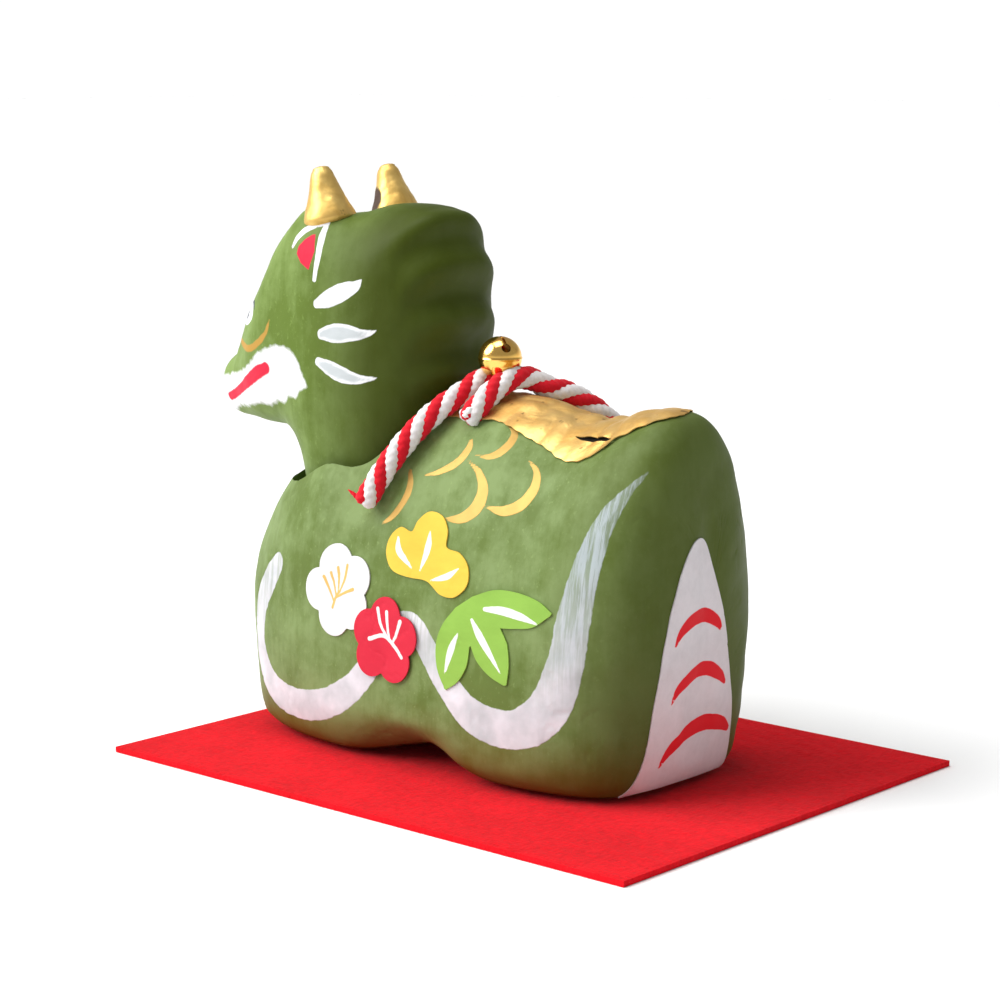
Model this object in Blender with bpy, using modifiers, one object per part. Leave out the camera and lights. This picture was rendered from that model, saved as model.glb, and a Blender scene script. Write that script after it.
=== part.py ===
"""Hollow paper dragon with a hanging, nodding head, a knotted bell cord and a felt mat.

Frame: origin at the middle of the mat's underside, +Z up. The dragon looks along -Y and its left
flank is on +X. Both sides of the dragon are mirror images in the plane X = 0.
"""
import bpy
import bmesh
from math import cos, exp, pi, radians, sin, sqrt
from mathutils import Matrix, Vector

mm = 0.001

# ---- driving dimensions ----
MAT_LENGTH = 100 * mm
MAT_WIDTH = 78 * mm
MAT_THICKNESS = 1.0 * mm

GAP = 0.3 * mm              # left between pieces that are glued or rest on each other
PAPER = 0.2 * mm            # cut paper glued on as decoration

BODY_LENGTH = 85.4 * mm
BODY_WALL = 1.5 * mm
BODY_MIDDLE_Y = -9.2 * mm   # half way between chest and rump
RIDGE_HEIGHT = 55 * mm      # top of the back over the mat
GIRTH_HEIGHT = 7 * mm       # level of the widest girth over the mat
ARCH_HEIGHT = 3 * mm        # gap under the belly, between the fore and hind feet
ARCH_FORWARD = 3 * mm       # how far it is behind the body's middle
ARCH_REACH = 7 * mm
WAIST_PINCH = 0.3           # share of the width that the waist loses at floor level
RUMP_TUCK = 3.5 * mm        # how far the foot of the rump is set in from the fullest part
CHEST_TUCK = 4.7 * mm       # and the foot of the chest

NECK_SETBACK = 23.9 * mm    # chest front to neck axis
NECK_WIDTH = 27 * mm
SHOULDER = 7.7 * mm         # body beyond the neck on each side, which carries the hanger wire
NECK_DEPTH = 29 * mm
HEAD_WALL = 1.2 * mm
COLLAR_SIDE = 1.4 * mm      # running room between neck and collar, at the sides
COLLAR_END = 2.0 * mm       # and in front of and behind the neck

WIRE_DEPTH = 16 * mm        # hanger wire under the top of the back: the nod axis
WIRE_RADIUS = 0.5 * mm
LINK_RADIUS = 1.5 * mm      # each eye of the hanger link, to the middle of its wire
LINK_WIRE = 0.35 * mm
STICK_RADIUS = 0.8 * mm     # neck stick that the link carries: the sway axis
WEIGHT_RADIUS = 7.5 * mm    # iron slug in the neck's foot, so that the head hangs upright
WEIGHT_LENGTH = 13 * mm
WEIGHT_BACK = 1 * mm        # its axis is this far behind the neck's, against the weight of the snout
SWAY_ROOM = radians(4)      # largest sideways tilt that the wire slots allow for

HORN_RADIUS = 4.1 * mm      # where it leaves the crown
HORN_LENGTH = 8 * mm        # from there to its tip
HORN_SPREAD = 7.3 * mm      # each horn's distance from the median plane
HORN_ROOT = 2.8 * mm        # length that is cut to the head's surface

STRIP_WIDTH = 19 * mm       # gold paper over the back seam
SLIT_LENGTH = 6 * mm
PANEL_WIDTH = 23 * mm       # white paper on the rump, at its foot
PANEL_HEIGHT = 35.5 * mm
PLUM_RADIUS = 7 * mm
PINE_SIZE = 6.6 * mm
BAMBOO_LENGTH = 15.6 * mm

CORD_RADIUS = 1.8 * mm
KNOT_RADIUS = 3.1 * mm      # to the middle of the cord, before the knot is drawn out
KNOT_STRETCH = 1.2
KNOT_FLATNESS = 0.72
THREAD_RADIUS = 0.3 * mm
BELL_RADIUS = 3.25 * mm
BELL_WALL = 0.4 * mm
BELL_SEAT = 0.117 * mm      # left between the bell and the knot's bands it sits on
BELL_SLOT = 0.7 * mm
PELLET_RADIUS = 1.0 * mm

# ---- places worked out from the sizes ----
FLOOR = MAT_THICKNESS + GAP
BODY_WIDTH = NECK_WIDTH + 2 * SHOULDER
CHEST_Y = BODY_MIDDLE_Y - BODY_LENGTH / 2
NECK_Y = CHEST_Y + NECK_SETBACK
WIRE_Z = MAT_THICKNESS + RIDGE_HEIGHT - WIRE_DEPTH
EYE_BORE = LINK_RADIUS - LINK_WIRE
UPPER_EYE_Z = WIRE_Z - (EYE_BORE - WIRE_RADIUS - GAP)
STICK_Z = UPPER_EYE_Z - 2 * LINK_RADIUS
CORD_SEAT = 2 * GAP + PAPER   # cords lie on the gold strip, which lies on the shell

BODY_SIDES = 16               # steps in each half of a body section
BODY_RINGS = 24
HEAD_SIDES = 22
HEAD_RINGS = 20

# Heights of the back as shares of RIDGE_HEIGHT, along the body from chest (-1) to rump (1)
BACK_LINE = ((-1, 0.58), (-0.877, 0.69), (-0.736, 0.785), (-0.594, 0.86), (-0.452, 0.92), (-0.263, 0.965),
             (-0.074, 0.98), (0.115, 0.987), (0.303, 0.98), (0.516, 0.95), (0.634, 0.955), (0.776, 0.99),
             (0.894, 1.015), (1, 1.01))
# How square the section's shoulders are: 2 is an ellipse
SHOULDERS = ((-1, 2.4), (-0.76, 2.5), (-0.45, 2.9), (-0.25, 2.25), (0.2, 2.1), (0.6, 2.15), (1, 2.5))
# The head's sections: throat and nape ends as shares of the neck's depth and heights over the wire,
# then the half width as a share of the neck's. The sections fan out round the throat to the snout.
HEAD_LINE = (((-0.38, -24), (0.34, -24), 0.78), ((-0.41, -14), (0.40, -12), 0.85),
             ((-0.42, -5), (0.46, 0), 0.93), ((-0.445, 1.5), (0.49, 9), 0.98),
             ((-0.50, 5), (0.52, 18), 1.0), ((-0.57, 6.6), (0.54, 27), 1.01),
             ((-0.65, 7.2), (0.53, 38.4), 1.0), ((-0.705, 7.2), (0.35, 42.6), 0.98),
             ((-0.76, 7.2), (-0.07, 42.8), 0.95), ((-0.83, 7.2), (-0.42, 41.3), 0.89),
             ((-0.90, 7.3), (-0.62, 36.2), 0.77), ((-0.98, 7.5), (-0.81, 28.3), 0.63),
             ((-1.07, 7.8), (-0.98, 20.8), 0.50), ((-1.155, 8.8), (-1.14, 17.5), 0.385),
             ((-1.21, 10.5), (-1.21, 15.5), 0.22))


def follow(rows, at):
    """Value at a place on a smooth line through rows of (place, value)."""
    i = max(k for k in range(len(rows) - 1) if k == 0 or rows[k][0] <= at)

    def slope(k):
        before, after = rows[max(k - 1, 0)], rows[min(k + 1, len(rows) - 1)]
        return (after[1] - before[1]) / (after[0] - before[0])

    (start, low), (end, high) = rows[i], rows[i + 1]
    span = end - start
    t = (at - start) / span
    ends = (1 + 2 * t) * (1 - t) ** 2 * low + t * t * (3 - 2 * t) * high
    return ends + span * (t * (1 - t) ** 2 * slope(i) + t * t * (t - 1) * slope(i + 1))


def power(value, exponent):
    return abs(value) ** exponent * (1 if value >= 0 else -1)


# ---- the body's outer surface ----
def section_sizes(y, inset=0):
    """Half width, lowest, widest and highest level, shoulder exponent and share of arch of a section.

    An inset gives the section of the hollow inside the wall.
    """
    along = max(-0.9995, min(0.9995, (y - BODY_MIDDLE_Y) / (BODY_LENGTH / 2 - inset)))
    front = along < 0

    def shrink(exponent):
        return (1 - abs(along) ** exponent) ** (1 / exponent)

    arch = exp(-(((y - BODY_MIDDLE_Y - ARCH_FORWARD) / ARCH_REACH) ** 2))
    middle = FLOOR + 0.38 * RIDGE_HEIGHT
    top = MAT_THICKNESS + RIDGE_HEIGHT * follow(BACK_LINE, along) - inset
    low = middle + shrink(9 if front else 24) * (FLOOR + inset + ARCH_HEIGHT * arch - middle)
    wide = middle + shrink(5.5 if front else 10) * (MAT_THICKNESS + GIRTH_HEIGHT - middle)
    high = middle + shrink(5.5 if front else 10) * (top - middle)
    width = (BODY_WIDTH / 2 - inset) * shrink(2.8 if front else 3.8)
    return width, low, wide, high, follow(SHOULDERS, along), arch


def body_point(y, angle, inset=0):
    """Point of the body's outer surface: angle 0 is the left girth, 90 degrees the ridge."""
    width, low, wide, high, square, arch = section_sizes(y, inset)
    if sin(angle) < 0:
        square = 10
    rise = power(sin(angle), 2 / square)
    if rise < 0:
        width *= 1 + WAIST_PINCH * arch * rise
    z = wide + rise * (high - wide if rise > 0 else wide - low)
    along = 2 * (y - BODY_MIDDLE_Y) / BODY_LENGTH
    tuck = (RUMP_TUCK if along > 0 else -CHEST_TUCK) * along ** 2
    set_in = tuck * max(0, 1 - (z - FLOOR) / (0.6 * RIDGE_HEIGHT)) ** 2
    return Vector((width * power(cos(angle), 2 / square), y - set_in, z))


def over_body(y, angle, height):
    """Point at a height over the body's surface, and the surface's normal there."""
    step = 0.1 * mm
    here = body_point(y, angle)
    along = body_point(y + step, angle) - body_point(y - step, angle)
    around = body_point(y, angle + 0.01) - body_point(y, angle - 0.01)
    normal = along.cross(around).normalized()
    return here + normal * height


def flank_x(y, z):
    """How far from the median plane the flank is, at a level over its girth."""
    width, _, wide, high, square, _ = section_sizes(y)
    return width * (1 - ((z - wide) / (high - wide)) ** square) ** (1 / square)


def body_rings(sides, rings, inset=0):
    turns = [pi * k / sides for k in range(2 * sides)]
    for k in range(rings):
        along = sin(pi / 2 * 0.985 * (2 * k / (rings - 1) - 1))
        y = BODY_MIDDLE_Y + along * (BODY_LENGTH / 2 - inset)
        yield [body_point(y, turn, inset) for turn in turns]


# ---- the head's outer surface ----
def head_section(at):
    """Throat end, nape end and half width of the head's section at a place from foot (0) to snout (1)."""
    places = [k / (len(HEAD_LINE) - 1) for k in range(len(HEAD_LINE))]

    def read(pick):
        return follow([(place, pick(row)) for place, row in zip(places, HEAD_LINE)], at)

    throat, nape = (Vector((0, NECK_Y + NECK_DEPTH * read(lambda row: row[end][0]),
                            WIRE_Z + mm * read(lambda row: row[end][1]))) for end in (0, 1))
    return throat, nape, NECK_WIDTH / 2 * read(lambda row: row[2])


def oval(turns, square):
    return [(power(cos(turn), 2 / square), power(sin(turn), 2 / square)) for turn in turns]


def head_rings(sides, rings, inset=0):
    """Sections of the head, or of the hollow in it, which stops short of the snout's tip."""
    turns = [2 * pi * k / sides for k in range(sides)]
    last = 0.94 if inset else 1
    for k in range(rings):
        throat, nape, half_width = head_section(last * k / (rings - 1))
        middle, reach = (throat + nape) / 2, (nape - throat) / 2
        reach *= 1 - inset / reach.length
        yield [middle + Vector(((half_width - inset) * across, 0, 0)) + reach * out
               for across, out in oval(turns, 2.5)]


def neck_end(z, end):
    """Y of the neck's throat line (end 0) or nape line (end 1) at a level."""
    line = [(row[end][1] * mm + WIRE_Z, row[end][0] * NECK_DEPTH + NECK_Y) for row in HEAD_LINE[:5]]
    return follow(line, z)


# ---- building helpers ----
def material(name, colour, roughness, metallic=0.0):
    made = bpy.data.materials.new(name)
    made.use_nodes = True
    shader = made.node_tree.nodes["Principled BSDF"]
    shader.inputs["Base Color"].default_value = (*colour, 1)
    shader.inputs["Roughness"].default_value = roughness
    shader.inputs["Metallic"].default_value = metallic
    return made


def add(name, mesh, finish=None, at=(0, 0, 0)):
    """Object in the dragon's collection, or in the cutters' one when it has no finish."""
    thing = bpy.data.objects.new(name, mesh)
    thing.location = at
    if finish is None:
        cutters.objects.link(thing)
        thing.hide_render = True
        thing.display_type = "WIRE"
    else:
        pieces.objects.link(thing)
        mesh.materials.clear()
        mesh.materials.append(finish)
    return thing


def finish_mesh(shape, name):
    bmesh.ops.recalc_face_normals(shape, faces=shape.faces)
    mesh = bpy.data.meshes.new(name)
    shape.to_mesh(mesh)
    shape.free()
    mesh.shade_smooth()
    mesh.set_sharp_from_angle(angle=radians(40))
    return mesh


def loft(name, rings):
    shape = bmesh.new()
    rows = [[shape.verts.new(point) for point in ring] for ring in rings]
    for one, two in zip(rows, rows[1:]):
        for i in range(len(one)):
            shape.faces.new((one[i - 1], one[i], two[i], two[i - 1]))
    for row in (rows[0], rows[-1]):
        middle = shape.verts.new(sum((vertex.co for vertex in row), Vector()) / len(row))
        for i in range(len(row)):
            shape.faces.new((row[i - 1], row[i], middle))
    return finish_mesh(shape, name)


def block(name, low, high):
    shape = bmesh.new()
    low, high = Vector(low), Vector(high)
    size = high - low
    bmesh.ops.create_cube(shape, size=1, matrix=Matrix.Translation((low + high) / 2)
                          @ Matrix.Diagonal((*size, 1)))
    return finish_mesh(shape, name)


def turn_towards(axis):
    return Vector((0, 0, 1)).rotation_difference(Vector(axis)).to_matrix().to_4x4()


def rod(name, radius, length, axis, sides=16, tip_radius=None):
    shape = bmesh.new()
    bmesh.ops.create_cone(shape, cap_ends=True, segments=sides, radius1=radius,
                          radius2=radius if tip_radius is None else tip_radius, depth=length,
                          matrix=turn_towards(axis))
    return finish_mesh(shape, name)


def ball(name, radius, sides=16, rings=10):
    shape = bmesh.new()
    bmesh.ops.create_uvsphere(shape, u_segments=sides, v_segments=rings, radius=radius)
    return finish_mesh(shape, name)


def eye(name, radius, wire, axis, stretch=1.0, sides=20, wire_sides=8):
    """Ring of round wire round an axis, as a torus that may be stretched along its own X."""
    rings = []
    for k in range(sides):
        turn = 2 * pi * k / sides
        out = Vector((cos(turn) * stretch, sin(turn), 0))
        middle = out * radius
        rings.append([middle + wire * (cos(a) * Vector((cos(turn), sin(turn), 0)) + sin(a) * Vector((0, 0, 1)))
                      for a in (2 * pi * j / wire_sides for j in range(wire_sides))])
    shape = bmesh.new()
    rows = [[shape.verts.new(point) for point in ring] for ring in rings]
    for k in range(sides):
        for j in range(wire_sides):
            shape.faces.new((rows[k - 1][j - 1], rows[k - 1][j], rows[k][j], rows[k][j - 1]))
    shape.transform(turn_towards(axis))
    return finish_mesh(shape, name)


def tube(name, points, radius, finish, resolution=2):
    """Cord along points, as a mesh made from a curve with a round bevel and filled caps."""
    line = bpy.data.curves.new(name, "CURVE")
    line.dimensions = "3D"
    line.bevel_depth = radius
    line.bevel_resolution = resolution
    line.use_fill_caps = True
    spline = line.splines.new("POLY")
    spline.points.add(len(points) - 1)
    for knot, point in zip(spline.points, points):
        knot.co = (*point, 1)
    holder = bpy.data.objects.new(name + "_line", line)
    pieces.objects.link(holder)
    bpy.context.view_layer.update()
    mesh = bpy.data.meshes.new_from_object(holder.evaluated_get(bpy.context.evaluated_depsgraph_get()))
    bpy.data.objects.remove(holder)
    shape = bmesh.new()
    shape.from_mesh(mesh)
    bmesh.ops.remove_doubles(shape, verts=shape.verts, dist=0.001 * mm)
    return add(name, finish_mesh(shape, name), finish)


def prism(name, outline, axis, start, end):
    """Outline of (across, up) points swept along an axis: across is Y for axis X, and X for Y and Z."""
    places = {"X": lambda a, b, c: (c, a, b), "Y": lambda a, b, c: (a, c, b), "Z": lambda a, b, c: (a, b, c)}
    shape = bmesh.new()
    rows = [[shape.verts.new(places[axis](a, b, c)) for a, b in outline] for c in (start, end)]
    for i in range(len(outline)):
        shape.faces.new((rows[0][i - 1], rows[0][i], rows[1][i], rows[1][i - 1]))
    shape.faces.new(rows[0])
    shape.faces.new(rows[1])
    return add(name, finish_mesh(shape, name))


def solidify(thing, thickness, offset):
    wall = thing.modifiers.new("wall", "SOLIDIFY")
    wall.thickness = thickness
    wall.offset = offset


def lift(thing, height):
    raised = thing.modifiers.new("lift", "DISPLACE")
    raised.mid_level = 0
    raised.strength = height


def cut(thing, cutter, operation="DIFFERENCE"):
    step = thing.modifiers.new(cutter.name, "BOOLEAN")
    step.operation = operation
    step.object = cutter


def skin_piece(name, outline, finish, lifted=GAP):
    """Paper glued on the body: the part of a thin skin over the shell that an outline takes out."""
    piece = add(name, body_mesh.copy(), finish)
    lift(piece, lifted)
    solidify(piece, PAPER, 1)
    cut(piece, outline, "INTERSECT")
    return piece


# ---- the pieces ----
for old in list(bpy.data.objects):
    bpy.data.objects.remove(old)
pieces = bpy.data.collections.new("dragon_figurine")
cutters = bpy.data.collections.new("dragon_figurine_cutters")
for group in (pieces, cutters):
    bpy.context.scene.collection.children.link(group)

green = material("green_paper", (0.16, 0.22, 0.07), 0.6)
gold_paint = material("gold_paint", (0.60, 0.42, 0.14), 0.4, 0.5)
white_paper = material("white_paper", (0.85, 0.84, 0.82), 0.7)
red_paper = material("red_paper", (0.75, 0.03, 0.06), 0.7)
yellow_paper = material("yellow_paper", (0.90, 0.62, 0.06), 0.7)
bamboo_paper = material("bamboo_paper", (0.35, 0.60, 0.10), 0.7)
cord_cotton = material("cord_cotton", (0.80, 0.25, 0.28), 0.8)
thread_cotton = material("thread_cotton", (0.85, 0.84, 0.82), 0.8)
felt = material("red_felt", (0.70, 0.01, 0.03), 0.95)
brass = material("bell_brass", (0.85, 0.55, 0.12), 0.2, 1.0)
steel = material("wire_steel", (0.5, 0.5, 0.5), 0.4, 1.0)
wood = material("stick_wood", (0.60, 0.42, 0.25), 0.7)
iron = material("slug_iron", (0.12, 0.12, 0.12), 0.7, 1.0)

body_mesh = loft("body_surface", body_rings(BODY_SIDES, BODY_RINGS))
head_mesh = loft("head_surface", head_rings(HEAD_SIDES, HEAD_RINGS))
FAR = 200 * mm                # beyond every piece
SIDES = (("left", 1), ("right", -1))


def half_space(side, sign):
    near, far = sorted((sign * GAP / 2, sign * FAR))
    return add("half_" + side, block("half_" + side, (near, -FAR, -FAR), (far, FAR, FAR)))


def collar_cutter():
    outline = [(across * (NECK_WIDTH / 2 + COLLAR_SIDE), NECK_Y + out * (NECK_DEPTH / 2 + COLLAR_END))
               for across, out in oval([2 * pi * k / 32 for k in range(32)], 2.25)]
    return prism("collar_opening", outline, "Z", FLOOR + RIDGE_HEIGHT * 0.45, FAR)


def build_mat():
    low = (-MAT_WIDTH / 2, -MAT_LENGTH / 2, 0)
    add("felt_mat", block("felt_mat", low, (MAT_WIDTH / 2, MAT_LENGTH / 2, MAT_THICKNESS)), felt)


def build_body():
    collar = collar_cutter()
    reach = flank_x(NECK_Y, WIRE_Z) - BODY_WALL / 2
    hollow = add("body_hollow", loft("body_hollow", body_rings(BODY_SIDES - 4, BODY_RINGS - 4, BODY_WALL)))
    bores = add("wire_bores", rod("wire_bores", WIRE_RADIUS + GAP, 2 * reach, (1, 0, 0)), at=(0, NECK_Y, WIRE_Z))
    for side, sign in SIDES:
        shell = add("body_shell_" + side, body_mesh.copy(), green)
        cut(shell, halves[side], "INTERSECT")
        cut(shell, hollow)
        cut(shell, collar)
        cut(shell, bores)
    return reach - GAP


def build_hanger(reach):
    add("hanger_wire", rod("hanger_wire", WIRE_RADIUS, 2 * reach, (1, 0, 0), 12), steel, (0, NECK_Y, WIRE_Z))
    link = add("hanger_link", eye("hanger_link", LINK_RADIUS, LINK_WIRE, (1, 0, 0)), steel,
               (0, NECK_Y, UPPER_EYE_Z))
    lower = add("lower_eye", eye("lower_eye", LINK_RADIUS, LINK_WIRE, (0, 1, 0)), at=(0, NECK_Y, STICK_Z))
    cut(link, lower, "UNION")


def build_head():
    reach = NECK_WIDTH / 2
    slot_half_height = WIRE_RADIUS + GAP + reach * sin(SWAY_ROOM)
    slot_half_width = WIRE_RADIUS + 2 * GAP
    slots = add("wire_slots", block("wire_slots", (-FAR, NECK_Y - slot_half_width, WIRE_Z - slot_half_height),
                                    (FAR, NECK_Y + slot_half_width, WIRE_Z + slot_half_height)))
    rings = list(head_rings(HEAD_SIDES - 4, HEAD_RINGS, HEAD_WALL))
    rings.insert(0, [point - Vector((0, 0, 2 * HEAD_WALL)) for point in rings[0]])
    hollow = add("head_hollow", loft("head_hollow", rings))
    for side, sign in SIDES:
        shell = add("head_shell_" + side, head_mesh.copy(), green)
        cut(shell, halves[side], "INTERSECT")
        cut(shell, hollow)
        cut(shell, slots)
    inside = HEAD_WALL + 2 * GAP
    front, back = neck_end(STICK_Z, 0) + inside, neck_end(STICK_Z, 1) - inside
    add("neck_stick", rod("neck_stick", STICK_RADIUS, back - front, (0, 1, 0), 12), wood,
        (0, (front + back) / 2, STICK_Z))
    foot = head_section(0)[0].z
    add("counterweight", rod("counterweight", WEIGHT_RADIUS, WEIGHT_LENGTH, (0, 0, 1), 20), iron,
        (0, NECK_Y + WEIGHT_BACK, foot + 1 * mm + WEIGHT_LENGTH / 2))


def build_horns():
    """Rolled horns that lean forward, their roots cut away to the head's surface."""
    lean = radians(14)
    clear = add("head_clearance", head_mesh.copy())
    lift(clear, GAP)
    taper = ((-HORN_ROOT, 1.0), (0, 1.0), (0.2 * HORN_LENGTH, 0.84), (0.45 * HORN_LENGTH, 0.64),
             (0.75 * HORN_LENGTH, 0.48), (0.93 * HORN_LENGTH, 0.37), (HORN_LENGTH, 0.2))
    turns = [2 * pi * k / 16 for k in range(16)]
    rings = [[Vector((HORN_RADIUS * share * cos(turn), HORN_RADIUS * share * sin(turn), up)) for turn in turns]
             for up, share in taper]
    for side, sign in SIDES:
        horn = add("horn_" + side, loft("horn_" + side, rings), gold_paint)
        horn.location = (sign * HORN_SPREAD, NECK_Y - 0.21 * NECK_DEPTH, WIRE_Z + 40.5 * mm)
        horn.rotation_euler = (lean, 0, 0)
        cut(horn, clear)


def discs(centre, circles, steps=40):
    """Outline of overlapping discs round a centre, from (angle, distance, radius) of each."""
    outline = []
    for turn in (2 * pi * k / steps for k in range(steps)):
        reach = 0
        for angle, distance, radius in circles:
            aside = distance * sin(turn - angle)
            if abs(aside) < radius:
                reach = max(reach, distance * cos(turn - angle) + sqrt(radius ** 2 - aside ** 2))
        outline.append((centre[0] + reach * cos(turn), centre[1] + reach * sin(turn)))
    return outline


def leaves(centre, blades, stem, steps=48):
    """Outline of pointed leaves that spread from a centre, from (angle, length, half spread) of each."""
    outline = []
    for turn in (2 * pi * k / steps for k in range(steps)):
        reach = stem
        for angle, length, spread in blades:
            off = abs((turn - angle + pi) % (2 * pi) - pi) / spread
            reach = max(reach, length * (1 - off ** 1.3) if off < 1 else 0)
        outline.append((centre[0] + reach * cos(turn), centre[1] + reach * sin(turn)))
    return outline


def plum(centre, radius):
    petal = 0.45 * radius
    return discs(centre, [(radians(90 + 72 * k), radius - petal, petal) for k in range(5)])


def flank_place(forward, height):
    """(y, z) at a distance in front of the body's middle and a height over the mat."""
    return BODY_MIDDLE_Y - forward, MAT_THICKNESS + height


def build_appliques():
    """Cut paper on both flanks: two plum blossoms, a pine sprig and bamboo leaves."""
    red_place = flank_place(0.7 * mm, 19.3 * mm)
    white_place = (red_place[0] - 1.5 * PLUM_RADIUS, red_place[1] + 0.94 * PLUM_RADIUS)
    pine_place = flank_place(-7 * mm, 33.6 * mm)
    bamboo_place = flank_place(-13.4 * mm, 25 * mm)
    pine = [(radians(170), 0.82 * PINE_SIZE, 0.5 * PINE_SIZE), (radians(100), 0.34 * PINE_SIZE, 0.56 * PINE_SIZE),
            (radians(-35), 0.66 * PINE_SIZE, 0.52 * PINE_SIZE), (radians(-110), 0.15 * PINE_SIZE, 0.5 * PINE_SIZE)]
    blades = [(radians(8), BAMBOO_LENGTH, radians(34)), (radians(-43), 0.8 * BAMBOO_LENGTH, radians(30)),
              (radians(-102), 0.74 * BAMBOO_LENGTH, radians(34))]
    shapes = {"plum_red": (plum(red_place, 0.94 * PLUM_RADIUS), red_paper),
              "plum_white": (plum(white_place, PLUM_RADIUS), white_paper),
              "pine": (discs(pine_place, pine), yellow_paper),
              "bamboo": (leaves(bamboo_place, blades, 0.2 * BAMBOO_LENGTH), bamboo_paper)}
    room = prism("plum_red_room", plum(red_place, 0.94 * PLUM_RADIUS + GAP), "X", -FAR, FAR)
    for side, sign in SIDES:
        for kind, (outline, finish) in shapes.items():
            piece = skin_piece(kind + "_" + side, prism(kind + "_outline_" + side, outline, "X",
                                                        *sorted((sign * GAP, sign * FAR))), finish)
            if kind == "plum_white":
                cut(piece, room)


def build_strip_and_panel():
    """Gold paper over the back seam, with the slit where it has opened, and white paper on the rump."""
    start, end = NECK_Y + NECK_DEPTH / 2 + COLLAR_END + GAP, BODY_MIDDLE_Y + 0.88 * BODY_LENGTH / 2
    half = [(0.40, 0.0), (0.43, 0.25), (0.45, 0.5), (0.52, 0.75), (0.50, 0.88), (0.22, 0.97)]
    outline = [(STRIP_WIDTH * width, start + (end - start) * along) for width, along in half]
    outline += [(-across, y) for across, y in reversed(outline)]
    strip = skin_piece("back_strip", prism("strip_outline", outline, "Z", FLOOR + RIDGE_HEIGHT / 2, FAR),
                       gold_paint)
    slit_x, slit_y, slit_height = 0.37 * STRIP_WIDTH, start + 0.78 * (end - start), 0.12
    slit = [(slit_x + slit_height * (x - slit_x), y)
            for x, y in discs((slit_x, slit_y), [(0, 0, SLIT_LENGTH / 2)], 16)]
    cut(strip, prism("strip_slit", slit, "Z", FLOOR + RIDGE_HEIGHT / 2, FAR))

    foot = FLOOR + 2 * mm
    rise = [(1.0, 0.0), (0.86, 0.25), (0.62, 0.60), (0.30, 0.86), (0.08, 0.98)]
    edge = [(PANEL_WIDTH / 2 * width, foot + PANEL_HEIGHT * up) for width, up in rise]
    edge += [(-across, z) for across, z in reversed(edge)]
    skin_piece("tail_panel", prism("panel_outline", edge, "Y", BODY_MIDDLE_Y + BODY_LENGTH / 3, FAR), white_paper)


def build_cord():
    """Glued cord: a near run, a flattened knot on the ridge and a far run, with the tie thread's tail."""
    seat = CORD_SEAT + CORD_RADIUS
    knot_y = NECK_Y + NECK_DEPTH / 2 + 9.1 * mm
    shares = [k / 8 for k in range(9)]
    near = [over_body(knot_y - (3.3 + 8.2 * t) * mm, radians(77 - 35 * t), seat) for t in shares]
    far = [over_body(knot_y + (4.5 + 13 * t) * mm, radians(103 + 37 * t), seat) for t in shares]
    tube("cord_near", near, CORD_RADIUS, cord_cotton)
    tube("cord_far", far, CORD_RADIUS, cord_cotton)
    knot_height = KNOT_FLATNESS * CORD_RADIUS
    knot_place = over_body(knot_y, radians(87), CORD_SEAT + knot_height)
    knot = add("cord_knot", eye("cord_knot", KNOT_RADIUS, CORD_RADIUS, (0, 0, 1), KNOT_STRETCH), cord_cotton,
               knot_place)
    knot.scale = (1, 1, KNOT_FLATNESS)
    knot.rotation_euler = (0, 0, radians(-35))
    tail = [over_body(knot_y + (1.4 - 0.4 * k) * mm, radians(71 - 2 * k), CORD_SEAT + THREAD_RADIUS)
            for k in range(5)]
    tube("tie_thread", tail, THREAD_RADIUS, thread_cotton, 1)
    # the bell sinks between the bands until it rests on their round sides
    turns = [pi * k / 180 for k in range(181)]
    sides = [(KNOT_RADIUS - CORD_RADIUS * cos(turn), knot_height * sin(turn)) for turn in turns]
    ball_radius = BELL_RADIUS + BELL_SEAT
    rise = max(up + (ball_radius ** 2 - across ** 2) ** 0.5 for across, up in sides if across < ball_radius)
    return knot_place + Vector((0, 0, rise))


def bowl(name, sign):
    """Half of the bell: a hemisphere profile turned round the bell's axis."""
    inner = BELL_RADIUS - BELL_WALL
    turns = [pi / 2 * k / 6 for k in range(7)]
    profile = [(BELL_RADIUS * sin(turn), BELL_RADIUS * cos(turn)) for turn in turns]
    profile += [(inner * sin(turn), inner * cos(turn)) for turn in reversed(turns)]
    shape = bmesh.new()
    knots = [shape.verts.new((across, 0, sign * (up + GAP / 2))) for across, up in profile]
    for one, two in zip(knots, knots[1:]):
        shape.edges.new((one, two))
    bmesh.ops.spin(shape, geom=shape.verts[:] + shape.edges[:], cent=(0, 0, 0), axis=(0, 0, 1),
                   angle=2 * pi, steps=20, use_merge=True, use_duplicate=False)
    bmesh.ops.remove_doubles(shape, verts=shape.verts, dist=0.001 * mm)
    return finish_mesh(shape, name)


def build_bell(centre):
    upper = add("bell_upper", bowl("bell_upper", 1), brass, centre)
    add("bell_lower", bowl("bell_lower", -1), brass, centre)
    slot_reach = 0.75 * BELL_RADIUS
    slot = add("bell_slot", block("bell_slot", (-slot_reach, -BELL_SLOT / 2, BELL_RADIUS * 0.3),
                                  (slot_reach, BELL_SLOT / 2, 2 * BELL_RADIUS)), at=centre)
    slot.rotation_euler = (0, 0, radians(48))
    cut(upper, slot)
    loop_radius, loop_wire = 0.6 * mm, 0.2 * mm
    loop_place = centre - Vector((0, 0, BELL_RADIUS + GAP / 2 + GAP + loop_radius + loop_wire))
    add("bell_loop", eye("bell_loop", loop_radius, loop_wire, (1, 0, 0), sides=14, wire_sides=6), brass,
        loop_place)
    drop = BELL_RADIUS - BELL_WALL - PELLET_RADIUS - GAP
    add("bell_pellet", ball("bell_pellet", PELLET_RADIUS), steel, centre - Vector((0, 0, drop)))


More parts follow.
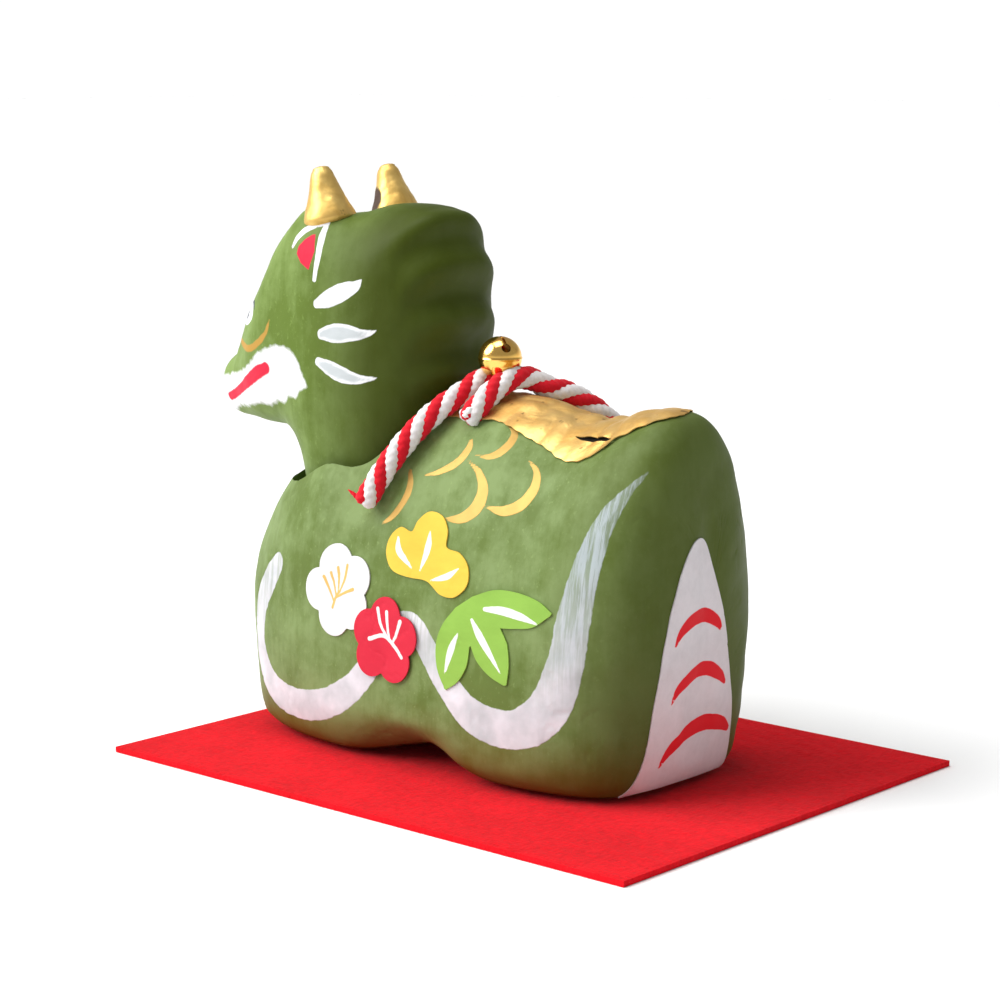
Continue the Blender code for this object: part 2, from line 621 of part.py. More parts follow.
build_mat()
halves = {side: half_space(side, sign) for side, sign in SIDES}
wire_reach = build_body()
build_hanger(wire_reach)
build_head()
build_horns()
build_appliques()
build_strip_and_panel()
build_bell(build_cord())
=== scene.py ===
from math import cos, pi, radians, sin

import bpy
import numpy as np
from mathutils import Matrix, Vector
from mathutils.bvhtree import BVHTree
from mathutils.geometry import delaunay_2d_cdt


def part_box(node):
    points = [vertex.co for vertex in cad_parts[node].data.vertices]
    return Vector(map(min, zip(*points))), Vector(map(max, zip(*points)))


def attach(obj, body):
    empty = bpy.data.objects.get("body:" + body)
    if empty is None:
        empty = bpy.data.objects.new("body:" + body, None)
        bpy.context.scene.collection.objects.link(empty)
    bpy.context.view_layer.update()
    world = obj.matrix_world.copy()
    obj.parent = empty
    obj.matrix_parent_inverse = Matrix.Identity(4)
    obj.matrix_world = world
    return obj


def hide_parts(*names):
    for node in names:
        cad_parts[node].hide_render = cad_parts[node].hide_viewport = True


mm = 0.001     # every size below is in millimetres and becomes metres when its mesh is made

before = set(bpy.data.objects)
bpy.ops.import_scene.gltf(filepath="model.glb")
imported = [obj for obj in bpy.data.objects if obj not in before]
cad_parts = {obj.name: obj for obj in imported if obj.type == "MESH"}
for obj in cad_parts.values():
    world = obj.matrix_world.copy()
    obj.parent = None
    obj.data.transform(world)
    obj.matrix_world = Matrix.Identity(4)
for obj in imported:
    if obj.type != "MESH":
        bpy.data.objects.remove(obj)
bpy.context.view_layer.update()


# ---- camera, light and floor ----
view = {"from": (288.26, 250.08, 104.26), "to": (-18.8, -22.45, 35.0), "lens": 93.27}
lighting = {
    "sky": (1.0, 1.0, 1.0), "horizon": 1.04, "zenith": 0.34,
    # wide and even, over the whole floor
    "window": {"from": (330, -330, 350), "strength": 3.9, "softness": 46},
    # name: place, aimed at, width, watts
    "lamps": {"topLight": ((60, -40, 480), (0, 0, 30), 240, 1.0)},
    "floor": (0.95, 0.95, 0.95), "floorReach": 6000,
}


def aimed(thing, place, target):
    thing.location = Vector(place) * mm
    thing.rotation_euler = (Vector(target) - Vector(place)).to_track_quat("-Z", "Y").to_euler()
    bpy.context.scene.collection.objects.link(thing)


def makeStudio():
    lens = bpy.data.cameras.new("studioCamera")
    lens.sensor_width, lens.lens = 36, view["lens"]
    camera = bpy.data.objects.new("studioCamera", lens)
    aimed(camera, view["from"], view["to"])
    bpy.context.scene.camera = camera
    window = bpy.data.lights.new("windowLight", "SUN")
    window.energy, window.angle = lighting["window"]["strength"], radians(lighting["window"]["softness"])
    aimed(bpy.data.objects.new("windowLight", window), lighting["window"]["from"], (0, 0, 0))
    for name, (place, target, width, watts) in lighting["lamps"].items():
        lamp = bpy.data.lights.new(name, "AREA")
        lamp.size, lamp.energy = width * mm, watts
        aimed(bpy.data.objects.new(name, lamp), place, target)
    world = bpy.data.worlds.new("softSky")
    world.use_nodes = True
    sky = world.node_tree.nodes["Background"]
    sky.inputs["Color"].default_value = (*lighting["sky"], 1)
    # white round the horizon, dimmer overhead
    way, parts, rise = (world.node_tree.nodes.new("ShaderNode" + kind)
                        for kind in ("TexCoord", "SeparateXYZ", "MapRange"))
    for key, value in (("From Min", 0.05), ("From Max", 0.30), ("To Min", lighting["horizon"]),
                       ("To Max", lighting["zenith"])):
        rise.inputs[key].default_value = value
    for one, two in ((way.outputs["Generated"], parts.inputs[0]), (parts.outputs["Z"], rise.inputs["Value"]),
                     (rise.outputs[0], sky.inputs["Strength"])):
        world.node_tree.links.new(one, two)
    bpy.context.scene.world = world
    bpy.context.scene.view_settings.view_transform = "Standard"
    reach = lighting["floorReach"]
    floor = meshPiece("floor", [(-reach, -reach, -0.05), (reach, -reach, -0.05), (reach, reach, -0.05),
                                (-reach, reach, -0.05)], [(0, 1, 2, 3)])
    paper = Finish("floorPaper", lighting["floor"], roughness=0.9)
    grain = paper.noise(40, detail=3)
    paper.set("Base Color",
              paper.mix(grain, lighting["floor"], [share * 0.985 for share in lighting["floor"]]))
    paper.on(floor)


# ---- materials: socket arithmetic and one way to add any node ----
class Value:
    # a socket that takes part in Python arithmetic
    def __init__(self, finish, socket):
        self.finish, self.socket = finish, socket

    def maths(self, operation, one, two):
        return self.finish.node("Math", {"operation": operation}, {0: one, 1: two})

    def __add__(self, other):
        return self.maths("ADD", self, other)

    def __sub__(self, other):
        return self.maths("SUBTRACT", self, other)

    def __rsub__(self, other):
        return self.maths("SUBTRACT", other, self)

    def __mul__(self, other):
        return self.maths("MULTIPLY", self, other)

    __radd__, __rmul__ = __add__, __mul__


class Finish:
    # a Principled material and the nodes that feed it
    def __init__(self, name, colour, roughness=0.6, metallic=0.0, **extra):
        self.material = bpy.data.materials.new(name)
        self.material.use_nodes = True
        self.tree = self.material.node_tree
        self.shader = self.tree.nodes["Principled BSDF"]
        for key, value in {"Base Color": (*colour, 1), "Roughness": roughness, "Metallic": metallic,
                           **extra}.items():
            self.shader.inputs[key.replace("_", " ")].default_value = value
        self.place = self.node("TexCoord", output=3)

    def node(self, kind, settings=None, sockets=None, output=0):
        made = self.tree.nodes.new("ShaderNode" + kind)
        for key, value in (settings or {}).items():
            if key == "stops":
                ramp = made.color_ramp.elements
                while len(ramp) < len(value):
                    ramp.new(1)
                for stop, (at, shade) in zip(ramp, value):
                    stop.position, stop.color = at, (*shade, 1)
            else:
                setattr(made, key, value)
        for key, value in (sockets or {}).items():
            if isinstance(value, Value):
                self.tree.links.new(value.socket, made.inputs[key])
            elif made.inputs[key].type == "RGBA" and len(value) == 3:
                made.inputs[key].default_value = (*value, 1)
            else:
                made.inputs[key].default_value = value
        return Value(self, made.outputs[output])

    def set(self, name, value):
        self.tree.links.new(value.socket, self.shader.inputs[name])

    def stretched(self, scale, turn=(0, 0, 0)):
        return self.node("Mapping", None, {"Vector": self.place, "Scale": scale, "Rotation": turn})

    def noise(self, perMetre, detail=2.0, rough=0.5, where=None, warp=0.0):
        return self.node("TexNoise", None,
                         {"Vector": where or self.place, "Scale": perMetre, "Detail": detail,
                                            "Roughness": rough, "Distortion": warp})

    def ranged(self, value, low, high, start=0.0, end=1.0):
        return self.node("MapRange", {"clamp": True}, {"Value": value, "From Min": low, "From Max": high,
                                                       "To Min": start, "To Max": end})

    def mix(self, mask, one, two, blend="MIX"):
        return self.node("Mix", {"data_type": "RGBA", "blend_type": blend}, {0: mask, 6: one, 7: two}, 2)

    def painted(self, layer, edge=0.06, ragged=0.12, perMetre=900):
        # 1 inside a painted shape, with a slightly uneven brush edge
        field = self.node("Attribute", {"attribute_name": layer}, None, 2)
        wobble = (self.noise(perMetre, detail=3) - 0.5) * (2 * ragged)
        return self.ranged(field + wobble, -edge, edge)

    def height(self):
        # level in millimetres over the table
        return self.node("SeparateXYZ", None, {"Vector": self.place}, 2) * (1 / mm)

    def back(self):
        # distance behind the middle of the mat, in millimetres
        return self.node("SeparateXYZ", None, {"Vector": self.place}, 1) * (1 / mm)

    def bump(self, height, distance, strength=1.0, under=None):
        sockets = {"Strength": strength, "Distance": distance * mm, "Height": height}
        if under:
            sockets["Normal"] = under
        return self.node("Bump", None, sockets)

    def on(self, thing):
        thing.data.materials.clear()
        thing.data.materials.append(self.material)


# ---- making meshes ----
def meshPiece(name, points, faces, smooth=True):
    mesh = bpy.data.meshes.new(name)
    mesh.from_pydata((np.asarray(points) * mm).tolist(), [],
                     faces if isinstance(faces, list) else faces.tolist())
    mesh.validate()
    mesh.update()
    piece = bpy.data.objects.new(name, mesh)
    bpy.context.scene.collection.objects.link(piece)
    if smooth:
        mesh.shade_smooth()
    return piece


def pointsOf(piece):
    flat = np.empty(len(piece.data.vertices) * 3)
    piece.data.vertices.foreach_get("co", flat)
    return flat.reshape(-1, 3) / mm


def gridFaces(rows, columns, start=0, flip=False):
    # faces of rows of points that close round on themselves
    row, column = np.meshgrid(np.arange(rows - 1), np.arange(columns), indexing="ij")
    after = (column + 1) % columns
    quads = np.stack([row * columns + column, row * columns + after, (row + 1) * columns + after,
                      (row + 1) * columns + column], -1).reshape(-1, 4) + start
    return quads[:, ::-1] if flip else quads


def withModifiers(piece):
    # the piece with its modifiers made final
    graph = bpy.context.evaluated_depsgraph_get()
    final = bpy.data.meshes.new_from_object(piece.evaluated_get(graph))
    piece.modifiers.clear()
    piece.data = final
    return piece


def subtract(piece, cutter):
    step = piece.modifiers.new("cut", "BOOLEAN")
    step.operation, step.object, step.solver = "DIFFERENCE", cutter, "EXACT"
    withModifiers(piece)
    bpy.data.objects.remove(cutter)
    return piece


def shaded(piece, angle=40):
    piece.data.shade_smooth()
    piece.data.set_sharp_from_angle(angle=radians(angle))
    return piece


def lineThrough(rows, at):
    # smooth line through rows of (place, value, ...), read at several places
    rows = np.asarray(rows, float)
    place, value = rows[:, 0], rows[:, 1:]
    before, after = np.r_[0, 0:len(place) - 1], np.r_[1:len(place), len(place) - 1]
    slope = (value[after] - value[before]) / (place[after] - place[before])[:, None]
    at = np.asarray(at, float)
    i = np.clip(np.searchsorted(place, at, side="right") - 1, 0, len(place) - 2)
    span = (place[i + 1] - place[i])[..., None]
    t = (at - place[i])[..., None] / span
    ends = (1 + 2 * t) * (1 - t) ** 2 * value[i] + t * t * (3 - 2 * t) * value[i + 1]
    return ends + span * (t * (1 - t) ** 2 * slope[i] + t * t * (t - 1) * slope[i + 1])


def curveThrough(points, spacing, closed=False):
    # evenly spaced points of a smooth curve through a few points
    points = np.asarray(points, float)
    if closed:
        points = np.vstack([points[-2:], points, points[:3]])
    gaps = np.linalg.norm(np.diff(points[:, :3], axis=0), axis=1)
    place = np.r_[0, np.cumsum(gaps)]
    start, end = (place[2], place[-3]) if closed else (0, place[-1])
    count = max(3, int((end - start) / spacing) + 1)
    return lineThrough(np.column_stack([place, points]), np.linspace(start, end, count, endpoint=not closed))


def power(value, exponent):
    return np.sign(value) * np.abs(value) ** exponent


def waves(points, size, seed, count=26):
    # soft random hills between about -1 and 1, a given size across
    dice = np.random.default_rng(seed)
    ways = dice.normal(size=(count, 3))
    lengths = np.linalg.norm(ways, axis=1, keepdims=True)
    ways *= (2 * pi / size) * (0.6 + 0.8 * dice.random((count, 1))) / lengths
    return np.sin(points @ ways.T + dice.random(count) * 2 * pi).sum(-1) * (2 / count) ** 0.5 * 0.6


def gridNormals(grid):
    along = np.gradient(grid, axis=0)
    around = np.roll(grid, -1, axis=1) - np.roll(grid, 1, axis=1)
    normal = np.cross(along, around)
    return normal / np.maximum(np.linalg.norm(normal, axis=-1, keepdims=True), 1e-9)


def capped(grid, steps=6, bulge=0.3):
    # rows of points that close the last row of a grid
    last, middle = grid[-1], grid[-1].mean(axis=0)
    out = middle - grid[-2].mean(axis=0)
    out /= np.linalg.norm(out)
    rows = [middle + (last - middle) * cos(turn) + out * bulge * sin(turn)
            for turn in np.linspace(0, pi / 2, steps + 1)[1:-1]]
    return np.concatenate([grid, np.stack(rows)]), middle + out * bulge


def closedShell(name, grids):
    # one mesh of closed rows of points: an outer skin and, turned inside out, the skin of its hollow
    points, faces = [], []
    total = 0
    for grid, caps, flip in grids:
        ends = []
        if caps[0]:
            grid, tip = capped(grid[::-1], bulge=caps[0])
            grid = grid[::-1]
            ends.append((0, tip))
        if caps[1]:
            grid, tip = capped(grid, bulge=caps[1])
            ends.append((grid.shape[0] - 1, tip))
        rows, columns = grid.shape[:2]
        faces += gridFaces(rows, columns, total, flip).tolist()
        points.append(grid.reshape(-1, 3))
        count = rows * columns
        for row, tip in ends:
            around = [total + row * columns + k for k in range(columns)]
            pairs = zip(around, around[1:] + around[:1])
            front = (row == 0) != flip
            faces += [(two, one, total + count) if front else (one, two, total + count) for one, two in pairs]
            points.append(np.array([tip]))
            count += 1
        total += count
    return meshPiece(name, np.concatenate(points), faces)


# ---- the body's surface, as the frame has it ----
bodyForm = {
    "length": 85.4, "width": 42.4, "middle": -9.2, "ridge": 55, "girth": 7, "floor": 1.3, "mat": 1.0,
    "archHeight": 3, "archForward": 3, "archReach": 7, "waistPinch": 0.3, "rumpTuck": 3.5, "chestTuck": 4.7,
    "wall": 1.5, "rings": 250, "sides": 380, "cornerRounding": 90, "lumps": 0.16, "creases": 0.09,
    # share of the ridge's height along the back, from chest (-1) to rump (1)
    "back": ((-1, 0.58), (-0.877, 0.69), (-0.736, 0.785), (-0.594, 0.86), (-0.452, 0.92), (-0.263, 0.965),
             (-0.074, 0.98), (0.115, 0.987), (0.303, 0.98), (0.516, 0.95), (0.634, 0.955), (0.776, 0.99),
             (0.894, 1.015), (1, 1.01)),
    "shoulders": ((-1, 2.4), (-0.76, 2.5), (-0.45, 2.9), (-0.25, 2.25), (0.2, 2.1), (0.6, 2.15), (1, 2.5)),
}


def bodySurface(y, turn, inset=0.0):
    form = bodyForm
    half = form["length"] / 2
    along = np.clip((y - form["middle"]) / (half - inset), -0.9995, 0.9995)
    front = along < 0

    def shrink(frontPower, rearPower):
        bend = np.where(front, frontPower, rearPower)
        return (1 - np.abs(along) ** bend) ** (1 / bend)

    arch = np.exp(-(((y - form["middle"] - form["archForward"]) / form["archReach"]) ** 2))
    centre = form["floor"] + 0.38 * form["ridge"]
    top = form["mat"] + form["ridge"] * lineThrough(form["back"], along)[..., 0] - inset
    low = centre + shrink(9, 24) * (form["floor"] + inset + form["archHeight"] * arch - centre)
    wide = centre + shrink(5.5, 10) * (form["mat"] + form["girth"] - centre)
    high = centre + shrink(5.5, 10) * (top - centre)
    width = (form["width"] / 2 - inset) * shrink(2.8, 3.8)
    square = np.where(np.sin(turn) < 0, 10, lineThrough(form["shoulders"], along)[..., 0])
    rise = power(np.sin(turn), 2 / square)
    width = width * np.where(rise < 0, 1 + form["waistPinch"] * arch * rise, 1)
    z = wide + rise * np.where(rise > 0, high - wide, wide - low)
    share = (y - form["middle"]) / half
    tuck = np.where(share > 0, form["rumpTuck"], -form["chestTuck"]) * share ** 2
    setIn = tuck * np.maximum(0, 1 - (z - form["floor"]) / (0.6 * form["ridge"])) ** 2
    return np.stack([width * power(np.cos(turn), 2 / square), y - setIn, z], -1)


def overBody(y, degrees, height):
    # a point at a height over the body's surface
    turn, step = radians(degrees), 0.1
    here = bodySurface(y, turn)
    along = bodySurface(y + step, turn) - bodySurface(y - step, turn)
    around = bodySurface(y, turn + 0.01) - bodySurface(y, turn - 0.01)
    normal = np.cross(along, around)
    return here + normal / np.linalg.norm(normal) * height


def bodyGrid(rings, sides, inset=0.0):
    turns = 2 * pi * np.arange(sides) / sides
    along = np.sin(pi / 2 * 0.985 * np.linspace(-1, 1, rings))
    y = bodyForm["middle"] + along * (bodyForm["length"] / 2 - inset)
    return bodySurface(*np.meshgrid(y, turns, indexing="ij"), inset)


def evened(grid):
    # the same rows with their points spread evenly round each row
    closed = np.concatenate([grid, grid[:, :1]], axis=1)
    steps = np.linalg.norm(np.diff(closed, axis=1), axis=-1)
    place = np.concatenate([np.zeros((len(grid), 1)), np.cumsum(steps, axis=1)], axis=1)
    columns = grid.shape[1]
    wanted = np.arange(columns) / columns
    return np.stack([np.stack([np.interp(wanted * row[-1], row, line[:, axis]) for axis in range(3)], -1)
                     for row, line in zip(place, closed)])


def relaxed(grid, weight, rounds):
    # rounds off corners where the weight is not 0
    grid = grid.copy()
    for _ in range(rounds):
        mean = (np.roll(grid, 1, 1) + np.roll(grid, -1, 1)) / 2
        mean[1:-1] = (mean[1:-1] + (grid[2:] + grid[:-2]) / 2) / 2
        grid += (mean - grid) * weight
    return grid


def makeBody():
    form = bodyForm
    grid = evened(bodyGrid(form["rings"], form["sides"]))
    level = grid[..., 2:]
    low = np.clip((9 - level) / 5, 0, 1) * np.clip((level - form["floor"]) / 0.5, 0.15, 1)
    grid = relaxed(grid, 0.9 * low, form["cornerRounding"])
    grid = relaxed(grid, np.full_like(level, 0.5), 6)
    normals = gridNormals(grid)
    lumps = form["lumps"] * waves(grid, 13, 3) + 0.05 * waves(grid, 5, 4)
    folds = waves(grid * (1, 1, 1.8), 9, 8)
    creases = -form["creases"] * np.exp(-(folds / 0.05) ** 2) * (waves(grid, 16, 9) > 0.1)
    under = np.clip((level[..., 0] - form["floor"] - 0.4) / 2, 0, 1)
    grid = grid + normals * ((lumps + creases) * under)[..., None]
    inner = bodyGrid(90, 120, form["wall"])
    return closedShell("bodyShell", [(grid, (0.25, 0.25), False), (inner, (0.1, 0.1), True)])


# ---- the head's surface ----
headForm = {
    "neckY": -28.0, "neckWidth": 27, "neckDepth": 29, "wireZ": 40, "wall": 1.2, "roundness": 2.5,
    "rings": 260, "sides": 300, "lumps": 0.13,
    "mane": 0.85, "maneStep": 8.2,        # height and spacing of the scallops down the nape
    "ear": (12.0, -36.2, 5.6, 5.8),       # aside, distance back, reach and height of each raised ear
    # distance back, width, length and depth of the hollow between the horns
    "dip": (-35.0, 9.0, 6.0, 2.2),
    # rows of throat and nape: share of the neck's depth and height over the wire, then the half width's share
    "line": ((-0.38, -24, 0.34, -24, 0.78), (-0.41, -14, 0.40, -12, 0.85), (-0.42, -5, 0.46, 0, 0.93),
             (-0.445, 1.5, 0.49, 9, 0.98), (-0.50, 5, 0.52, 18, 1.0), (-0.57, 6.6, 0.53, 27, 1.01),
             (-0.65, 7.2, 0.49, 38.9, 1.0), (-0.705, 7.2, 0.34, 42.9, 0.98), (-0.76, 7.2, -0.07, 42.8, 0.95),
             (-0.83, 7.2, -0.42, 41.3, 0.89), (-0.90, 7.3, -0.62, 36.2, 0.77),
             (-0.98, 7.5, -0.81, 28.3, 0.63), (-1.07, 7.8, -0.98, 20.8, 0.50),
             (-1.155, 8.8, -1.14, 17.5, 0.385), (-1.21, 10.5, -1.21, 15.5, 0.22)),
}


def headGrid(rings, sides, inset=0.0, last=1.0):
    form = headForm
    rows = [(k / (len(form["line"]) - 1), *row) for k, row in enumerate(form["line"])]
    read = lineThrough(rows, last * np.linspace(0, 1, rings))
    throat = np.stack([0 * read[:, 0], form["neckY"] + form["neckDepth"] * read[:, 0],
                       form["wireZ"] + read[:, 1]], -1)
    nape = np.stack([0 * read[:, 0], form["neckY"] + form["neckDepth"] * read[:, 2],
                     form["wireZ"] + read[:, 3]], -1)
    middle, reach = (throat + nape) / 2, (nape - throat) / 2
    reach = reach * (1 - inset / np.linalg.norm(reach, axis=1, keepdims=True))
    half = form["neckWidth"] / 2 * read[:, 4] - inset
    turns = 2 * pi * np.arange(sides) / sides
    across, out = power(np.cos(turns), 2 / form["roundness"]), power(np.sin(turns), 2 / form["roundness"])
    grid = middle[:, None] + reach[:, None] * out[None, :, None]
    grid[..., 0] += half[:, None] * across[None]
    return grid


def makeHead():
    form = headForm
    grid = headGrid(form["rings"], form["sides"])
    turns = 2 * pi * np.arange(form["sides"]) / form["sides"]
    nape = np.clip((np.sin(turns) - 0.78) / 0.2, 0, 1)       # 1 along the nape and the crown
    ridge = grid[:, form["sides"] // 4]
    place = np.r_[0, np.cumsum(np.linalg.norm(np.diff(ridge, axis=0), axis=1))]
    crown = np.interp(form["wireZ"] + 38.5, ridge[:len(ridge) // 2, 2], place[:len(ridge) // 2])
    scallop = np.cos(2 * pi * (place - crown) / form["maneStep"])
    scallop *= np.clip((ridge[:, 2] - form["wireZ"] - 12) / 6, 0, 1) * np.clip((crown + 6 - place) / 5, 0, 1)
    grid = evened(grid)
    normals = gridNormals(grid)
    out = form["mane"] * scallop[:, None] * nape[None]
    lumps = form["lumps"] * waves(grid, 12, 21) + 0.04 * waves(grid, 4.5, 22)
    lumps *= np.clip((grid[..., 2] - form["wireZ"] - 4) / 6, 0, 1)
    grid = grid + normals * (out + lumps)[..., None]
    aside, back, reach, rise = form["ear"]
    near = np.exp(-((np.abs(grid[..., 0]) - aside) ** 2 + (grid[..., 1] - back) ** 2) / reach ** 2)
    middle, width, length, depth = form["dip"]
    dip = depth * np.exp(-(grid[..., 0] / width) ** 2 - ((grid[..., 1] - middle) / length) ** 2)
    grid[..., 2] += (rise * near - dip) * np.clip((grid[..., 2] - form["wireZ"] - 26) / 12, 0, 1)
    inner = headGrid(120, 160, form["wall"], 0.94)
    return closedShell("headShell", [(grid, (0, 0.9), False), (inner, (0, 0.1), True)])


# ---- painting: how far inside a painted shape each point of a mesh is, in millimetres ----
def surfaceOf(piece):
    return BVHTree.FromPolygons(pointsOf(piece).tolist(),
                                [tuple(face.vertices) for face in piece.data.polygons])


looks = {"left": (0, Vector((-1, 0, 0))), "right": (0, Vector((1, 0, 0))),
         "rump": (1, Vector((0, -1, 0))), "back": (2, Vector((0, 0, -1)))}


def laidOn(surface, flat, look, height=0.0):
    # flat points seen along an axis, moved on to a surface and lifted over it
    axis, way = looks[look]
    placed = []
    for pair in flat:
        start = list(pair)
        start.insert(axis, -150 * way[axis])
        spot, normal, _, _ = surface.ray_cast(Vector(start), way)
        if spot is None:
            start[axis] = 0
            spot, normal, _, _ = surface.find_nearest(Vector(start))
        if normal.dot(way) > 0:
            normal = -normal
        placed.append(spot + normal * (height[len(placed)] if hasattr(height, "__len__") else height))
    return np.array(placed)


def strokesField(points, surface, strokes, look, height=0.0):
    field = np.full(len(points), -9.0)
    for stroke in strokes:
        line = curveThrough(stroke, 0.2)
        brush = np.column_stack([laidOn(surface, line[:, :2], look, height), line[:, 2]])
        near = np.all((points > brush[:, :3].min(0) - 4) & (points < brush[:, :3].max(0) + 4), axis=1)
        spots = points[near]
        best = np.full(len(spots), -9.0)
        for *place, width in brush:
            best = np.maximum(best, width - np.linalg.norm(spots - place, axis=1))
        field[near] = np.maximum(field[near], best)
    return field


def insideOutline(flat, outline):
    inside = np.zeros(len(flat), bool)
    for (x1, y1), (x2, y2) in zip(outline, np.roll(outline, -1, axis=0)):
        crosses = (y1 > flat[:, 1]) != (y2 > flat[:, 1])
        inside ^= crosses & (flat[:, 0] < (x2 - x1) * (flat[:, 1] - y1) / (y2 - y1 + 1e-12) + x1)
    return inside


def outlineField(flat, outline):
    # signed distance to a closed outline, positive inside
    best = np.full(len(flat), 99.0)
    for one, two in zip(outline, np.roll(outline, -1, axis=0)):
        side = two - one
        t = np.clip((flat - one) @ side / max(side @ side, 1e-12), 0, 1)
        best = np.minimum(best, np.linalg.norm(flat - one - t[:, None] * side, axis=1))
    return np.where(insideOutline(flat, outline), best, -best)


def keepLayer(piece, layer, field):
    made = piece.data.attributes.new(layer, "FLOAT", "POINT")
    made.data.foreach_set("value", np.asarray(field, np.float32))


def paintBothSides(piece, surface, layer, strokes=(), outlines=()):
    points = pointsOf(piece)
    field = np.full(len(points), -9.0)
    for look, sign in (("left", 1), ("right", -1)):
        field = np.maximum(field, strokesField(points, surface, strokes, look))
        for outline in outlines:
            shape = np.where(points[:, 0] * sign > 0, outlineField(points[:, 1:], np.asarray(outline, float)),
                             -9)
            field = np.maximum(field, shape)
    keepLayer(piece, layer, field)


print("surfaces ready")


# ---- the painted body ----
bodyPaint = {
    "green": ((0.182, 0.250, 0.092), (0.104, 0.151, 0.034)), "base": (0.115, 0.066, 0.006), "baseHeight": 12,
    # painted shade: the green turns dark olive towards the rump, which faces away from the light
    "rump": (0.060, 0.080, 0.010), "rumpShadeFrom": (17, 33),
    "white": (0.78, 0.75, 0.80), "dusty": (0.38, 0.43, 0.44), "gold": (0.50, 0.31, 0.085), "roughness": 0.5,
    # brush strokes on the flank: (distance back, level, half width)
    "wave": (((-35.6, 28.4, 1.6), (-38.0, 25.6, 2.3), (-40.6, 21.6, 2.4), (-41.4, 16.8, 2.3),
              (-39.8, 11.6, 2.3), (-36.2, 8.7, 2.3), (-31.4, 7.6, 2.4), (-26.0, 7.9, 2.4), (-21.2, 9.4, 2.3),
              (-17.0, 12.0, 2.2), (-13.6, 15.4, 2.0), (-10.5, 20.0, 1.7), (-6.9, 23.6, 1.5),
              (-4.4, 23.2, 1.7), (-1.9, 20.5, 1.9), (0.8, 17.5, 2.0), (3.8, 14.6, 2.2), (6.9, 12.2, 2.5),
              (10.6, 11.1, 2.7), (14.6, 11.0, 2.8), (18.4, 12.7, 3.1), (21.1, 16.2, 3.1), (22.8, 21.6, 2.8),
              (23.5, 28.0, 2.6), (24.2, 33.0, 2.3), (25.3, 38.4, 1.9), (26.6, 42.6, 1.35), (28.0, 45.2, 0.8),
              (30.0, 48.3, 0.12)),),
    # painted shadow: near-black on the body under the tear in the gold paper
    "hollow": (((6.5, 15.0, 0.7), (7.1, 18.0, 1.1), (7.6, 21.8, 0.7)),),
    "scales": (((2.1, 52.4, 0.15), (4.4, 51.5, 0.5), (5.0, 50.2, 0.75), (4.1, 48.8, 0.8), (2.4, 48.0, 0.5),
                (0.0, 48.0, 0.1)),
               ((-2.3, 49.9, 0.3), (-1.9, 48.6, 0.65), (-2.9, 46.7, 0.7), (-5.2, 45.3, 0.5),
                (-8.2, 44.4, 0.1)),
               ((-0.9, 47.2, 0.2), (1.9, 45.7, 0.55), (3.6, 43.4, 0.95), (3.3, 41.0, 1.1), (1.2, 39.4, 0.8),
                (-2.2, 38.9, 0.1)),
               ((9.3, 48.2, 0.15), (11.6, 46.6, 0.5), (12.2, 44.4, 0.85), (10.9, 42.2, 0.95),
                (8.2, 41.1, 0.75), (4.8, 41.4, 0.1)),
               ((-11.2, 44.8, 0.3), (-10.3, 42.8, 0.6), (-10.6, 40.6, 0.6), (-12.1, 38.2, 0.5),
                (-13.9, 36.9, 0.12))),
}


def greenPaint(name, look):
    # satin green over papier-mache: brush marks and worn lights
    paint = Finish(name, look["green"][0], look["roughness"], Specular_IOR_Level=0.10)
    cloud = paint.noise(55, detail=4, rough=0.6)
    brushed = paint.noise(1, detail=5, rough=0.62, where=paint.stretched((420, 420, 60)))
    speck = paint.noise(1500, detail=2)
    fine = paint.noise(240, detail=5, rough=0.65)
    green = paint.mix(paint.ranged(cloud + (brushed - 0.5) * 0.4 + (fine - 0.5) * 0.5, 0.36, 0.64),
                      look["green"][1], look["green"][0])
    green = paint.mix(paint.ranged(speck, 0.62, 0.75, 0, 0.25), green,
                      [share * 1.45 for share in look["green"][0]])
    return paint, green, cloud, brushed


def plasterBump(paint, brushed, distance=0.10):
    fine = paint.noise(700, detail=5, rough=0.65)
    soft = paint.noise(180, detail=3, warp=0.6)
    return paint.bump(fine * 0.5 + soft * 1.4 + brushed * 0.5, distance, 0.7)


